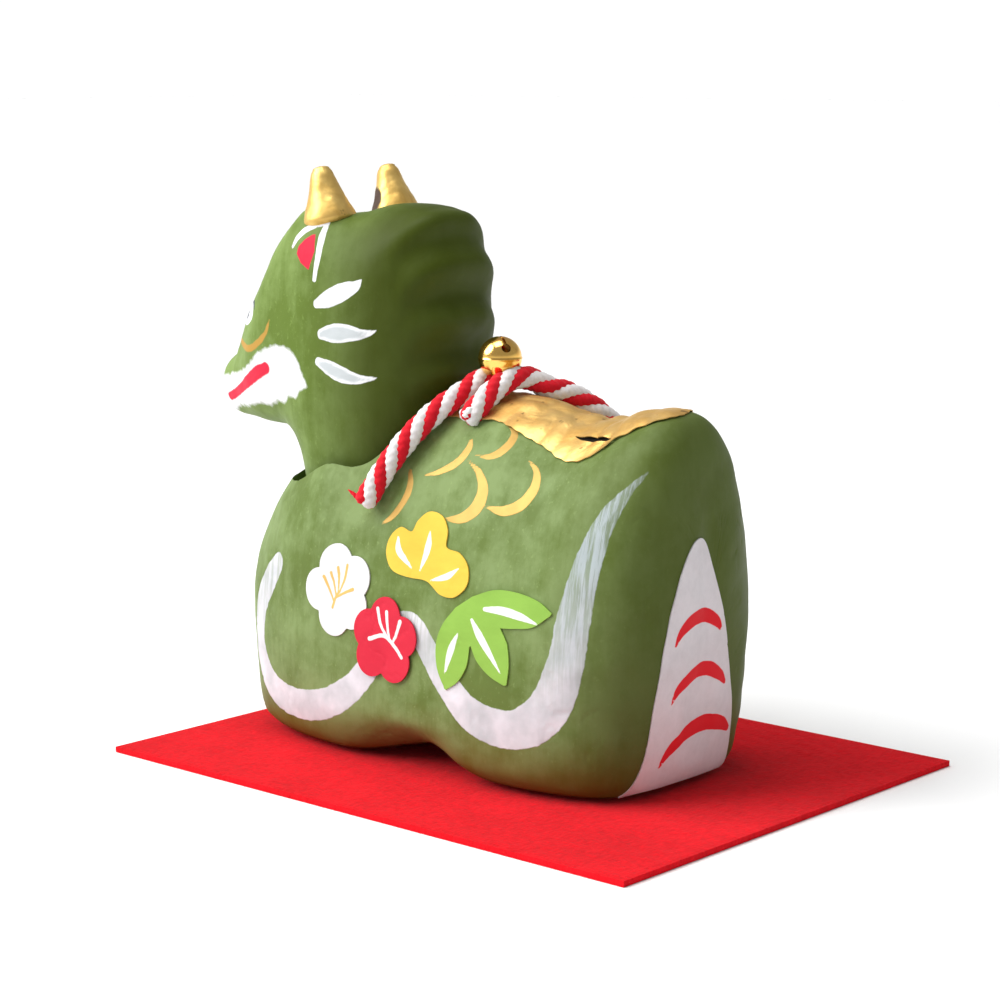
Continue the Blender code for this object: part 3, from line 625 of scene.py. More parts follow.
def bodyFinish():
    look = bodyPaint
    paint, green, cloud, brushed = greenPaint("greenBody", look)
    foot = paint.ranged(paint.height() + (cloud - 0.5) * 9, 1.5, look["baseHeight"], 1, 0)
    green = paint.mix(foot * 0.9, green, look["base"])
    # painted shade darkens the green towards the rump
    turned = paint.ranged(paint.back() + (cloud - 0.5) * 12,
                          *look["rumpShadeFrom"])
    green = paint.mix(turned * 0.8, green, look["rump"])
    wave, scales = paint.painted("wave", 0.08, 0.25, 700), paint.painted("scales", 0.05, 0.10)
    # dry-brush streaks open up towards the top of the stroke
    bristles = paint.noise(1, detail=4, rough=0.7, where=paint.stretched((300, 1500, 90)))
    dry = paint.ranged(paint.height(), 14, 38) * paint.ranged(bristles, 0.42, 0.58)
    cover = wave * (1 - dry * 0.7)
    along = paint.back()
    white = paint.mix(paint.ranged(along, 8, 22) * paint.ranged(paint.height(), 12, 36), look["white"],
                      look["dusty"])
    white = paint.mix(paint.noise(260, detail=3), white, [share * 0.80 for share in look["dusty"]])
    colour = paint.mix(cover, green, white)
    gold = paint.mix(paint.noise(500, detail=3), look["gold"], [share * 0.72 for share in look["gold"]])
    colour = paint.mix(scales, colour, gold)
    # near-black painted shadow under the tear in the gold paper
    colour = paint.mix(paint.painted("hollow", 0.2), colour, (0.006, 0.005, 0.004))
    paint.set("Base Color", colour)
    paint.set("Metallic", scales * 0.3)
    paint.set("Roughness", paint.ranged(cloud, 0.3, 0.7, look["roughness"] - 0.07, look["roughness"] + 0.09)
              + cover * 0.12 - scales * 0.12)
    relief = paint.bump(cover * (0.6 + bristles * 0.5) + scales * 0.8, 0.05, 0.7,
                        plasterBump(paint, brushed))
    paint.set("Normal", relief)
    return paint


collar = {"side": 1.5, "front": 0.9, "back": 2.0, "roundness": 2.25, "depth": 26}

body = makeBody()
turns = 2 * pi * np.arange(96) / 96
bend = 2 / collar["roundness"]
halfWidth = headForm["neckWidth"] / 2 + collar["side"]
halfDepth = headForm["neckDepth"] / 2 + np.where(turns > pi, collar["front"], collar["back"])
opening = np.stack([power(np.cos(turns), bend) * halfWidth,
                    headForm["neckY"] + power(np.sin(turns), bend) * halfDepth], -1)
rows = [np.column_stack([opening, np.full(96, level)]) for level in (collar["depth"], 120)]
neckHole = closedShell("neckHole", [(np.stack(rows), (0.001, 0.001), False)])
subtract(body, neckHole)
shaded(body, 50)
bodySkin = surfaceOf(body)
paintBothSides(body, bodySkin, "wave", bodyPaint["wave"])
paintBothSides(body, bodySkin, "scales", bodyPaint["scales"])
keepLayer(body, "hollow", strokesField(pointsOf(body), bodySkin, bodyPaint["hollow"], "back"))
bodyFinish().on(body)
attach(body, "dragon")
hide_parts("body_shell_left", "body_shell_right")
print("body built,", len(body.data.vertices), "points")


# ---- the painted head ----
headPaint = {
    # shade: the rear of the head is darker, partly its own darker paint and partly painted shade
    "green": ((0.182, 0.262, 0.074), (0.106, 0.162, 0.026)), "shade": (0.036, 0.049, 0.0015),
    "shadeFrom": (-37, -20),
    "roughness": 0.5, "white": (0.74, 0.75, 0.77), "dusty": (0.40, 0.44, 0.45), "red": (0.62, 0.020, 0.05),
    "gold": (0.42, 0.24, 0.05),
    "grey": (0.05, 0.06, 0.08),
    "cheeks": (((-31.3, 68.3, 0.7), (-28.6, 69.2, 1.35), (-25.9, 70.3, 1.4), (-23.4, 71.3, 0.8),
                (-22.4, 72.3, 0.1)),
               ((-30.2, 63.7, 0.8), (-27.5, 64.0, 1.4), (-24.8, 64.2, 1.3), (-22.0, 64.2, 0.7),
                (-19.2, 64.9, 0.08)),
               ((-30.9, 59.5, 0.6), (-28.3, 58.7, 1.15), (-25.6, 57.9, 1.2), (-22.8, 57.4, 0.75),
                (-19.3, 57.7, 0.08))),
    "earEdge": (((-37.7, 76.5, 0.28), (-36.9, 77.9, 0.45), (-35.0, 79.3, 0.5), (-31.7, 80.4, 0.3)),
                ((-31.7, 80.3, 0.35), (-31.8, 78.3, 0.6), (-31.8, 75.4, 0.55), (-32.1, 71.8, 0.38))),
    "ear": ((-33.2, 78.8), (-34.9, 77.9), (-36.3, 76.7), (-36.5, 75.5), (-35.4, 74.2), (-33.5, 73.2),
            (-32.7, 76.0)),
    "muzzle": ((-67, 54.0), (-61, 54.3), (-55.5, 55.4), (-51.5, 56.2), (-48.3, 57.6), (-45.5, 59.6),
               (-41.5, 61.1), (-38.3, 61.1), (-36.0, 59.8), (-34.6, 57.6), (-33.3, 55.4), (-35.2, 54.6),
               (-36.6, 53.4), (-38.9, 53.3), (-40.3, 52.2), (-42.7, 52.1), (-45.0, 51.2), (-48.5, 51.3),
               (-52.0, 50.3), (-56.0, 49.9), (-60.0, 48.4), (-67, 48.2)),
    "mouth": (((-58.6, 51.1, 0.7), (-53.6, 52.9, 0.75), (-49.6, 54.7, 0.95), (-46.2, 56.4, 1.05),
               (-43.8, 57.4, 0.95)),),
    "nostril": (((-54.5, 61.2, 0.3), (-51.0, 60.3, 0.5), (-47.6, 60.2, 0.55), (-44.8, 61.6, 0.5),
                 (-43.2, 63.2, 0.35), (-42.5, 65.0, 0.12)),),
    "eye": (((-48.3, 65.3, 1.1), (-49.8, 65.5, 2.0), (-51.2, 65.5, 1.9)),),
    "pupil": (((-50.3, 65.2, 0.8), (-50.5, 65.8, 0.8)),
              ((-46.9, 66.3, 0.15), (-48.4, 67.2, 0.3), (-49.8, 67.5, 0.2))),
}


def headFinish():
    look = headPaint
    paint, green, cloud, brushed = greenPaint("greenHead", look)
    paint.set("Roughness", paint.ranged(cloud, 0.3, 0.7, look["roughness"] - 0.07, look["roughness"] + 0.09))
    thin = paint.noise(1, detail=4, rough=0.6, where=paint.stretched((500, 260, 900)))
    white = paint.mix(paint.ranged(thin, 0.42, 0.66, 0, 0.55), look["white"],
                      [share * 0.62 for share in look["white"]])
    # darker towards the rear of the head: partly darker paint, partly painted shade
    behind = paint.ranged(paint.back() + (cloud - 0.5) * 9,
                          *look["shadeFrom"])
    colour = paint.mix(behind * 0.9, green, look["shade"])
    low = paint.ranged(paint.height(), 68, 65)
    inner = paint.ranged(paint.node("Attribute", {"attribute_name": "cheeks"}, None, 2) + (thin - 0.5) * 0.8,
                         0.2, 0.6)
    white = paint.mix(low * inner * 0.8, white, look["dusty"])
    covers = 0
    for layer, shade, edge, ragged in (("muzzle", look["white"], 0.30, 0.55), ("cheeks", white, 0.07, 0.14),
                                       ("earEdge", look["white"], 0.06, 0.10),
                                       ("ear", look["red"], 0.06, 0.10),
                                       ("mouth", look["red"], 0.10, 0.16),
                                       ("nostril", look["gold"], 0.10, 0.20),
                                       ("eye", look["white"], 0.07, 0.10),
                                       ("pupil", look["grey"], 0.06, 0.08)):
        mask = paint.painted(layer, edge, ragged, 800)
        colour = paint.mix(mask, colour, shade)
        covers = mask * 0.5 + covers
    paint.set("Base Color", colour)
    paint.set("Normal", paint.bump(covers, 0.05, 0.7, plasterBump(paint, brushed)))
    return paint


head = makeHead()
headSkin = surfaceOf(head)
for layer in ("cheeks", "earEdge", "mouth", "nostril", "eye", "pupil"):
    paintBothSides(head, headSkin, layer, headPaint[layer])
for layer in ("ear", "muzzle"):
    paintBothSides(head, headSkin, layer, (), (headPaint[layer],))
headFinish().on(head)
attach(head, "head")
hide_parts("head_shell_left", "head_shell_right")
print("head built,", len(head.data.vertices), "points")


# ---- gold horns ----
horn = {"radius": 4.1, "spread": 7.3, "back": -0.21, "up": 40.5, "lean": 14,
        "taper": ((-4.5, 0.35), (-1.4, 0.76), (-0.3, 0.98), (0.2, 1.0), (1.6, 0.88), (3.6, 0.69), (5.6, 0.53),
                  (7.2, 0.42), (7.9, 0.32)),
        "gold": (0.76, 0.52, 0.16), "brown": (0.05, 0.02, 0.008)}


def goldPaint(name, gold, brown, rough=0.42):
    # hand-brushed gold: fine grain, rubbed darker patches and a few brown specks
    paint = Finish(name, gold, rough, 0.7)
    grain = paint.noise(900, detail=4, rough=0.7)
    patch = paint.noise(230, detail=4, rough=0.6, warp=0.5)
    speck = paint.noise(650, detail=2)
    colour = paint.mix(paint.ranged(patch, 0.35, 0.68), gold, [share * shade for share, shade in
                                                              zip(gold, (0.74, 0.66, 0.50))])
    colour = paint.mix(paint.ranged(speck, 0.68, 0.74, 0, 0.7), colour, brown)
    return paint, colour, grain, patch


def hornFinish():
    paint, colour, grain, patch = goldPaint("hornGold", horn["gold"], horn["brown"])
    torn = paint.painted("torn", 0.15, 0.55, 500)
    paint.set("Base Color", paint.mix(torn, colour, horn["brown"]))
    paint.set("Metallic", 0.7 - torn * 0.7)
    paint.set("Roughness", paint.ranged(patch, 0.3, 0.7, 0.34, 0.52) + torn * 0.3)
    paint.set("Normal", paint.bump(grain * 0.5 + patch * 1.3 - torn * 2, 0.12, 0.8))
    return paint


hornGold = hornFinish()
for side, sign in (("left", 1), ("right", -1)):
    turns = 2 * pi * np.arange(72) / 72
    taper = np.array(horn["taper"])
    levels = np.linspace(taper[0, 0], taper[-1, 0], 60)
    radii = horn["radius"] * lineThrough(taper, levels)[:, 0]
    grid = np.stack([np.column_stack([radius * np.cos(turns), radius * np.sin(turns), np.full(72, level)])
                     for radius, level in zip(radii, levels)])
    dents = 0.07 * waves(grid + 40 * sign, 3.4, 31) + 0.02 * waves(grid, 1.3, 32)
    grid = grid + gridNormals(grid) * dents[..., None]
    piece = closedShell("horn_" + side, [(grid, (0, 0.45), False)])
    place = Vector((sign * horn["spread"], headForm["neckY"] + horn["back"] * headForm["neckDepth"],
                    headForm["wireZ"] + horn["up"]))
    turn = Matrix.Translation(place * mm) @ Matrix.Rotation(radians(horn["lean"]), 4, "X")
    spots = pointsOf(piece)
    torn = np.full(len(spots), -9.0)
    if side == "right":
        torn = 1.5 - np.linalg.norm((spots - (3.0, -1.2, 2.6)) * (1, 1, 0.6), axis=1)
    piece.data.transform(turn)
    keepLayer(piece, "torn", torn)
    hornGold.on(piece)
    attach(piece, "head")
    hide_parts("horn_" + side)
print("horns built")


# ---- cut paper pasted on the shell ----
def paperPiece(name, outline, look, surface, lift=0.06, thick=0.2, step=0.45, holes=(), wrinkle=0.0, seed=1):
    outline = np.asarray(outline, float)
    edges, spots = [], []
    for ring in (outline, *[np.asarray(hole, float) for hole in holes]):
        first = len(spots)
        spots += ring.tolist()
        edges += [(first + k, first + (k + 1) % len(ring)) for k in range(len(ring))]
    low, high = outline.min(0), outline.max(0)
    grid = np.stack(np.meshgrid(np.arange(low[0], high[0], step), np.arange(low[1], high[1], step)), -1)
    grid = grid.reshape(-1, 2) + (0.25 * step) * np.sin(grid.reshape(-1, 2)[:, ::-1] * 37)
    room = outlineField(grid, outline)
    for hole in holes:
        room = np.minimum(room, -outlineField(grid, np.asarray(hole, float)))
    spots += grid[room > 0.35 * step].tolist()
    flat, _, faces, *_ = delaunay_2d_cdt([Vector(spot) for spot in spots], edges, [], 1, 1e-5)
    flat = np.array([list(spot) for spot in flat])
    for hole in holes:
        inHole = insideOutline(flat[np.array(faces)].mean(axis=1), np.asarray(hole, float))
        faces = [face for face, out in zip(faces, inHole) if not out]
    height = np.full(len(flat), lift)
    if wrinkle:
        height += wrinkle * np.abs(waves(np.column_stack([flat, flat[:, 0] * 0]), 5.5, seed))
    points = laidOn(surface, flat, look, height)
    piece = meshPiece(name, points, [tuple(face) for face in faces])
    wall = piece.modifiers.new("thickness", "SOLIDIFY")
    wall.thickness, wall.offset = thick * mm, 1
    # the faces have to look outwards for the thickness to grow outwards
    outward = sum(face.normal.dot(-looks[look][1]) for face in piece.data.polygons)
    if outward < 0:
        piece.data.flip_normals()
    withModifiers(piece)
    return shaded(piece, 50)


def petals(centre, radius, turns):
    petal = 0.47 * radius
    outline = []
    for turn in np.linspace(0, 2 * pi, 120, endpoint=False):
        reach = 0.4 * radius
        for middle in np.radians(turns):
            aside = (radius - petal) * sin(turn - middle)
            if abs(aside) < petal:
                reach = max(reach, (radius - petal) * cos(turn - middle) + (petal ** 2 - aside ** 2) ** 0.5)
        outline.append((centre[0] + reach * cos(turn), centre[1] + reach * sin(turn)))
    return outline


motifs = {
    "plum_white": {"paper": (0.70, 0.70, 0.70), "ink": (0.62, 0.40, 0.12), "lift": 0.05, "step": 0.16,
                   "slot": "white_paper",
                   "outline": petals((-20.4, 26.4), 6.95, (103, 36, -36, -98, 184)),
                   "marks": (((-21.4, 23.7, 0.26), (-20.9, 25.2, 0.24), (-20.0, 26.4, 0.2)),
                             ((-21.2, 24.6, 0.16), (-22.2, 26.2, 0.22), (-23.5, 28.1, 0.3)),
                             ((-20.8, 25.6, 0.16), (-21.4, 27.2, 0.2), (-22.2, 28.8, 0.26)),
                             ((-20.4, 26.0, 0.16), (-20.5, 28.0, 0.24), (-20.9, 29.7, 0.3)),
                             ((-20.1, 26.2, 0.16), (-19.3, 28.2, 0.24), (-19.0, 30.3, 0.28)),
                             ((-20.9, 25.2, 0.18), (-19.0, 26.2, 0.22), (-17.4, 26.9, 0.3)))},
    "plum_red": {"paper": (0.56, 0.018, 0.042), "ink": (0.74, 0.72, 0.72), "lift": 0.28, "step": 0.16,
                 "slot": "red_paper",
                 "outline": petals((-9.9, 20.3), 6.5, (92, 18, -54, -134, 158)),
                 "marks": (((-6.4, 18.3, 0.25), (-7.8, 19.8, 0.3), (-10.0, 21.1, 0.3), (-12.8, 20.3, 0.32)),
                           ((-9.3, 20.9, 0.2), (-10.8, 22.6, 0.26), (-11.6, 24.9, 0.3)),
                           ((-8.9, 20.7, 0.2), (-9.4, 22.6, 0.26), (-9.7, 24.6, 0.32)),
                           ((-8.3, 20.2, 0.2), (-7.5, 21.8, 0.26), (-6.9, 23.6, 0.34)))},
    "pine": {"paper": (0.70, 0.46, 0.055), "ink": (0.74, 0.72, 0.70), "lift": 0.05, "step": 0.26,
             "slot": "yellow_paper",
             "outline": curveThrough(((-11.7, 33.0), (-11.5, 35.3), (-9.8, 36.9), (-7.6, 36.5), (-6.9, 38.1),
                                      (-5.0, 39.6), (-2.3, 39.2), (-0.7, 37.4), (-0.4, 35.1), (2.3, 34.6),
                                      (4.4, 32.9), (4.8, 30.4), (2.7, 28.4), (0.0, 28.4), (-3.0, 29.9),
                                      (-7.0, 30.1), (-10.1, 30.8)), 0.4, True),
             "marks": (((-9.9, 35.5, 0.15), (-9.3, 33.6, 0.55), (-6.3, 31.4, 0.12)),
                       ((-4.1, 36.9, 0.12), (-4.0, 34.6, 0.6), (-4.7, 31.2, 0.12)),
                       ((2.7, 32.4, 0.12), (0.8, 31.1, 0.5), (-2.4, 30.1, 0.1)))},
    "bamboo": {"paper": (0.235, 0.42, 0.065), "ink": (0.72, 0.74, 0.70), "lift": 0.05, "step": 0.26,
               "slot": "leaf_paper",
               "outline": np.concatenate([curveThrough(leaf, 0.4) for leaf in (
                   ((6.2, 29.0), (9.8, 30.3), (14.0, 30.4), (17.8, 29.6), (20.1, 28.3)),
                   ((19.9, 27.9), (17.2, 26.0), (14.0, 25.4), (11.7, 25.2)),
                   ((11.9, 25.0), (13.2, 23.0), (13.8, 20.2), (13.7, 17.4)),
                   ((13.2, 17.3), (10.4, 18.3), (8.0, 20.0), (6.6, 22.0)),
                   ((6.4, 21.8), (6.1, 18.9), (4.6, 16.5), (2.5, 15.0)),
                   ((2.2, 15.2), (0.6, 18.0), (0.1, 21.2), (1.2, 24.4), (3.2, 27.0)))]),
               "marks": (((8.6, 27.5, 0.3), (11.6, 27.6, 0.6), (14.8, 27.2, 0.55), (18.0, 26.5, 0.15),
                          (20.6, 25.9, 0.08)),
                         ((6.5, 25.7, 0.25), (8.3, 23.5, 0.62), (10.6, 21.0, 0.4), (12.5, 18.9, 0.1)),
                         ((4.1, 23.4, 0.15), (3.0, 20.8, 0.58), (2.1, 17.2, 0.1)))},
}


def paperFinish(name, paper, ink, edge=0.05):
    finish = Finish(name, paper, 0.62, Specular_IOR_Level=0.15)
    fibres = finish.noise(1, detail=5, rough=0.7, where=finish.stretched((900, 260, 700), (0.4, 0.2, 0.7)))
    cloud = finish.noise(120, detail=3)
    colour = finish.mix(finish.ranged(fibres + (cloud - 0.5), 0.3, 0.75), paper,
                        [share * 0.9 for share in paper])
    mark = finish.painted("marks", edge, 0.05, 1500)
    finish.set("Base Color", finish.mix(mark, colour, ink))
    finish.set("Roughness", finish.ranged(cloud, 0.3, 0.7, 0.55, 0.72))
    finish.set("Normal", finish.bump(fibres * 0.6 + cloud * 1.2 + mark * 0.8, 0.05, 0.7))
    return finish


for kind, motif in motifs.items():
    finish = paperFinish(kind + "Paper", motif["paper"], motif["ink"])
    for side in ("left", "right"):
        piece = paperPiece(kind + "_" + side, motif["outline"], side, bodySkin, motif["lift"],
                           step=motif["step"])
        keepLayer(piece, "marks", strokesField(pointsOf(piece), bodySkin, motif["marks"], side,
                                              motif["lift"] + 0.2))
        finish.on(piece)
        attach(piece, "dragon")
        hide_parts(kind + "_" + side)
print("paper motifs built")


# ---- white panel with red crescents on the rump ----
panel = {
    "paper": (0.66, 0.64, 0.66), "ink": (0.66, 0.012, 0.02),
    "edge": ((12.1, 1.9), (10.8, 5.4), (10.2, 9.5), (9.8, 15.5), (9.0, 22.0), (7.4, 30.0), (5.2, 35.6),
             (3.4, 38.0), (1.9, 38.5), (0.4, 37.4), (-1.2, 34.0), (-3.2, 28.4), (-5.8, 20.8), (-7.8, 14.0),
             (-9.2, 8.0), (-10.3, 1.9)),
    "marks": (((6.8, 23.3, 0.1), (5.6, 25.4, 0.65), (3.1, 26.9, 1.0), (0.0, 27.1, 1.05), (-2.4, 25.8, 0.75),
               (-3.4, 24.5, 0.25)),
              ((6.7, 14.9, 0.1), (5.3, 17.2, 0.7), (2.4, 18.8, 1.0), (-1.2, 19.1, 1.1), (-4.2, 17.6, 0.8),
               (-5.7, 16.2, 0.3)),
              ((7.6, 5.3, 0.1), (5.7, 7.9, 0.75), (2.3, 10.0, 1.1), (-2.0, 10.8, 1.25), (-5.9, 10.0, 1.05),
               (-8.0, 8.8, 0.5))),
}

outline = curveThrough(panel["edge"], 0.5)
piece = paperPiece("tail_panel_paper", outline, "rump", bodySkin, 0.05, step=0.6)
keepLayer(piece, "marks", strokesField(pointsOf(piece), bodySkin, panel["marks"], "rump", 0.25))
paperFinish("panelPaper", panel["paper"], panel["ink"]).on(piece)
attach(piece, "dragon")
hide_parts("tail_panel")
print("tail panel built")


# ---- gold paper over the back ----
strip = {
    "gold": (0.74, 0.48, 0.16), "brown": (0.16, 0.08, 0.02), "wrinkle": 0.30,
    # (left or right of the middle, distance back) round the paper
    "edge": ((7.2, -11.2), (7.9, -8.0), (7.9, -3.5), (7.4, 0.5), (8.2, 4.2), (8.6, 8.0), (9.1, 11.5),
             (9.8, 14.6), (9.9, 17.6), (9.4, 20.3), (8.3, 22.6), (6.6, 25.4), (4.4, 28.0), (1.5, 29.2),
             (-1.8, 28.6), (-5.0, 26.6), (-7.8, 23.4), (-9.3, 19.0), (-9.4, 14.0), (-8.6, 9.0), (-8.0, 4.0),
             (-7.5, -1.0), (-7.9, -6.0), (-7.2, -11.2)),
    "tear": ((6.3, 14.4), (6.95, 15.9), (7.45, 18.0), (7.75, 20.2), (8.0, 22.6), (7.35, 21.0), (6.9, 19.0),
             (6.5, 16.8)),
}


def stripFinish():
    paint, colour, grain, patch = goldPaint("backGold", strip["gold"], strip["brown"], 0.45)
    paint.set("Base Color", colour)
    paint.set("Roughness", paint.ranged(patch, 0.3, 0.7, 0.36, 0.56))
    creases = paint.noise(1, detail=3, rough=0.5, where=paint.stretched((260, 150, 260), (0, 0, 0.5)),
                          warp=0.8)
    paint.set("Normal", paint.bump(grain * 0.35 + patch + creases * 1.6, 0.16, 0.8))
    return paint


outline = curveThrough(strip["edge"], 0.4, True)
outline = outline + 0.06 * np.column_stack([np.sin(outline[:, 1] * 2.9), np.sin(outline[:, 0] * 3.7)])
piece = paperPiece("gold_back_paper", outline, "back", bodySkin, 0.08, 0.15, 0.4,
                   (curveThrough(strip["tear"], 0.2, True),), strip["wrinkle"], 7)
stripFinish().on(piece)
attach(piece, "dragon")
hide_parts("back_strip")
print("gold strip built")


# ---- twisted cord: two red and two white strands, each of three plies ----
cord = {
    "radius": 1.78, "pitch": 11.6, "strand": 1.08, "ply": 0.06, "plyPitch": 3.1, "knotY": -4.4,
    "red": (0.62, 0.008, 0.020), "white": (0.74, 0.71, 0.71), "seat": 2.25,
}
seat, knotY = cord["seat"], cord["knotY"]
nearPath = [overBody(knotY - 11.9, 40, seat), overBody(knotY - 9.6, 49.5, seat),
            overBody(knotY - 7.2, 59, seat),
            overBody(knotY - 4.9, 68, seat), (5.0, -7.6, 56.4), (2.7, -6.9, 57.7), (0.4, -5.6, 58.0),
            (-1.4, -3.9, 57.2)]
farPath = [(9.2, -4.2, 52.4), (7.4, -3.2, 54.6), (4.6, -2.4, 56.9), (1.4, -1.7, 58.2), (-1.4, -0.9, 57.9),
           (-3.6, 0.9, 56.5), overBody(knotY + 7.0, 104, seat - 0.25), overBody(knotY + 9.6, 113, seat - 0.3),
           overBody(knotY + 12.4, 123, seat - 0.3), overBody(knotY + 15.2, 132, seat - 0.3),
           overBody(knotY + 17.6, 140, seat - 0.3)]


def cordFinish(name, colour):
    yarn = Finish(name, colour, 0.85, Sheen_Weight=0.08, Specular_IOR_Level=0.15)
    fluff = yarn.noise(2600, detail=3, rough=0.7)
    ply = yarn.noise(1, detail=3, rough=0.6, where=yarn.stretched((2400, 900, 1600), (0.6, 0.3, 0.8)))
    yarn.set("Base Color",
             yarn.mix(yarn.ranged(fluff + ply * 0.5, 0.45, 1.0), [share * 0.82 for share in colour],
                                    colour))
    yarn.set("Normal", yarn.bump(fluff * 0.6 + ply, 0.10, 0.8))
    return yarn


def framesAlong(line):
    # tangent, side and up vectors carried along a line without twisting
    tangent = np.gradient(line, axis=0)
    tangent /= np.linalg.norm(tangent, axis=1, keepdims=True)
    up = np.array([0.0, 0, 1])
    sides, ups = [], []
    for way in tangent:
        up = up - way * (up @ way)
        up /= np.linalg.norm(up)
        sides.append(np.cross(way, up))
        ups.append(up)
    return tangent, np.array(sides), np.array(ups)


def twistedCord(name, path, startTurn=0.0):
    line = curveThrough(path, 0.16)
    place = np.r_[0, np.cumsum(np.linalg.norm(np.diff(line, axis=0), axis=1))]
    _, side, up = framesAlong(line)
    columns = 22
    around = 2 * pi * np.arange(columns) / columns
    strands = {"red": [], "white": []}
    for k in range(4):
        turn = startTurn + 2 * pi * place / cord["pitch"] + k * pi / 2
        reach = cord["radius"] - cord["strand"]
        middle = line + reach * (side * np.cos(turn)[:, None] + up * np.sin(turn)[:, None])
        _, across, over = framesAlong(middle)
        ply = 1 + cord["ply"] * np.cos(3 * (around[None] + 2 * pi * place[:, None] / cord["plyPitch"] + k))
        ends = np.clip(np.minimum(place, place[-1] - place) / 0.35, 0.35, 1)[:, None] ** 0.5
        radius = cord["strand"] * ply * ends
        grid = middle[:, None] + radius[..., None] * (across[:, None] * np.cos(around)[None, :, None]
                                                      + over[:, None] * np.sin(around)[None, :, None])
        strands["red" if k % 2 == 0 else "white"].append((grid, (0.12, 0.12), False))
    return {tint: closedShell(name + "_" + tint, grids) for tint, grids in strands.items()}


cordYarn = {tint: cordFinish(tint + "Cord", cord[tint]) for tint in ("red", "white")}
replaced = {"cord_near_run": ("cord_near", "cord_knot"), "cord_far_run": ("cord_far",)}
for name, path in (("cord_near_run", nearPath), ("cord_far_run", farPath)):
    for tint, piece in twistedCord(name, path, 0.6).items():
        cordYarn[tint].on(piece)
        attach(piece, "dragon")
        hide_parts(*replaced[name])

# loose red yarns at the near end, a white thread round the knot and its tail
thread = {"radius": 0.58, "white": (0.87, 0.86, 0.86),
          "tail": ((6.8, -3.8, 55.6), (8.1, -3.5, 54.9), (9.4, -3.4, 54.0), (10.3, -3.7, 53.2))}


def plainThread(name, path, radius, tip=1.0, columns=18):
    line = curveThrough(path, 0.08)
    place = np.linspace(0, 1, len(line))
    _, side, up = framesAlong(line)
    around = 2 * pi * np.arange(columns) / columns
    ends = np.clip(np.minimum(place, 1 - place) * len(line) / 4, 0.5, 1) ** 0.5
    size = radius * (1 + (tip - 1) * place) * ends
    twist = 1 + 0.10 * np.cos(2 * around[None] + 9 * place[:, None] * len(line) * 0.08)
    grid = line[:, None] + (size[:, None] * twist)[..., None] * (
        side[:, None] * np.cos(around)[None, :, None] + up[:, None] * np.sin(around)[None, :, None])
    return closedShell(name, [(grid, (0.1, 0.1), False)])


cordEnd = Vector(nearPath[0])
frayed = plainThread("cord_frayed_end",
                     (cordEnd + Vector((0.2, -0.2, 0.6)), cordEnd + Vector((0.6, -1.2, 1.3)),
                                         cordEnd + Vector((0.9, -2.2, 2.0))), 0.55, 0.25)
cordYarn["red"].on(frayed)
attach(frayed, "dragon")
threadYarn = cordFinish("whiteThread", thread["white"])
tail = plainThread("thread_tail", thread["tail"], thread["radius"])
turns = np.linspace(0, 2 * pi, 12)
wrap = plainThread("thread_wrap",
                   [(1.2 + 1.5 * cos(turn), -4.3 + 1.1 * sin(turn), 57.4 + 0.9 * cos(turn) + 0.3)
                                   for turn in turns], 0.45)
for piece in (tail, wrap):
    threadYarn.on(piece)
    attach(piece, "dragon")
    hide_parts("tie_thread")
print("cord and thread built")


# ---- gilt jingle bell ----
bell = {"gold": (1.0, 0.62, 0.16), "wall": 0.3, "seam": 0.10, "seamWidth": 0.16, "slotWidth": 0.40,
        "slotEnd": 0.72,
        "slotTurn": 61, "slotReach": 57}
low, high = (np.array(corner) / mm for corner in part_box("bell_upper"))
bellRadius = (high[0] - low[0]) / 2
bellCentre = Vector(((low[0] + high[0]) / 2, (low[1] + high[1]) / 2, high[2] - bellRadius - 0.15))


def makeBell():
    turns, levels = 2 * pi * np.arange(128) / 128, np.linspace(-0.995, 0.995, 97) * pi / 2
    skins = []
    for radius, bead, flip in ((bellRadius, bell["seam"], False), (bellRadius - bell["wall"], 0, True)):
        reach = radius + bead * np.exp(-((radius * levels) / bell["seamWidth"]) ** 2)
        rows = [np.column_stack([size * cos(level) * np.cos(turns), size * cos(level) * np.sin(turns),
                                 np.full(128, size * sin(level))]) for size, level in zip(reach, levels)]
        skins.append((np.stack(rows), (0.001, 0.001), flip))
    shell = closedShell("bell", skins)
    # the slot over the crown ends in two round holes
    half = bell["slotWidth"] / 2
    reach = bellRadius * sin(radians(bell["slotReach"]))
    slab = [(x, y, z) for z in (bellRadius * 0.2, bellRadius * 1.2) for x, y in
            ((-reach, -half), (reach, -half), (reach, half), (-reach, half))]
    slot = meshPiece("bellSlot", slab, [(3, 2, 1, 0), (4, 5, 6, 7), (0, 1, 5, 4), (1, 2, 6, 5), (2, 3, 7, 6),
                                        (3, 0, 4, 7)], smooth=False)
    subtract(shell, slot)
    for sign in (-1, 1):
        turns = 2 * pi * np.arange(40) / 40
        rows = [np.column_stack([bell["slotEnd"] * np.cos(turns), bell["slotEnd"] * np.sin(turns),
                                 np.full(40, level)]) for level in (bellRadius * 0.4, bellRadius * 1.4)]
        drill = closedShell("bellHole", [(np.stack(rows), (0.001, 0.001), False)])
        drill.data.transform(Matrix.Rotation(radians(sign * bell["slotReach"]), 4, "Y"))
        subtract(shell, drill)
    turned = Matrix.Rotation(radians(bell["slotTurn"]), 4, "Z")
    shell.data.transform(Matrix.Translation(bellCentre * mm) @ turned)
    return shaded(shell, 35)


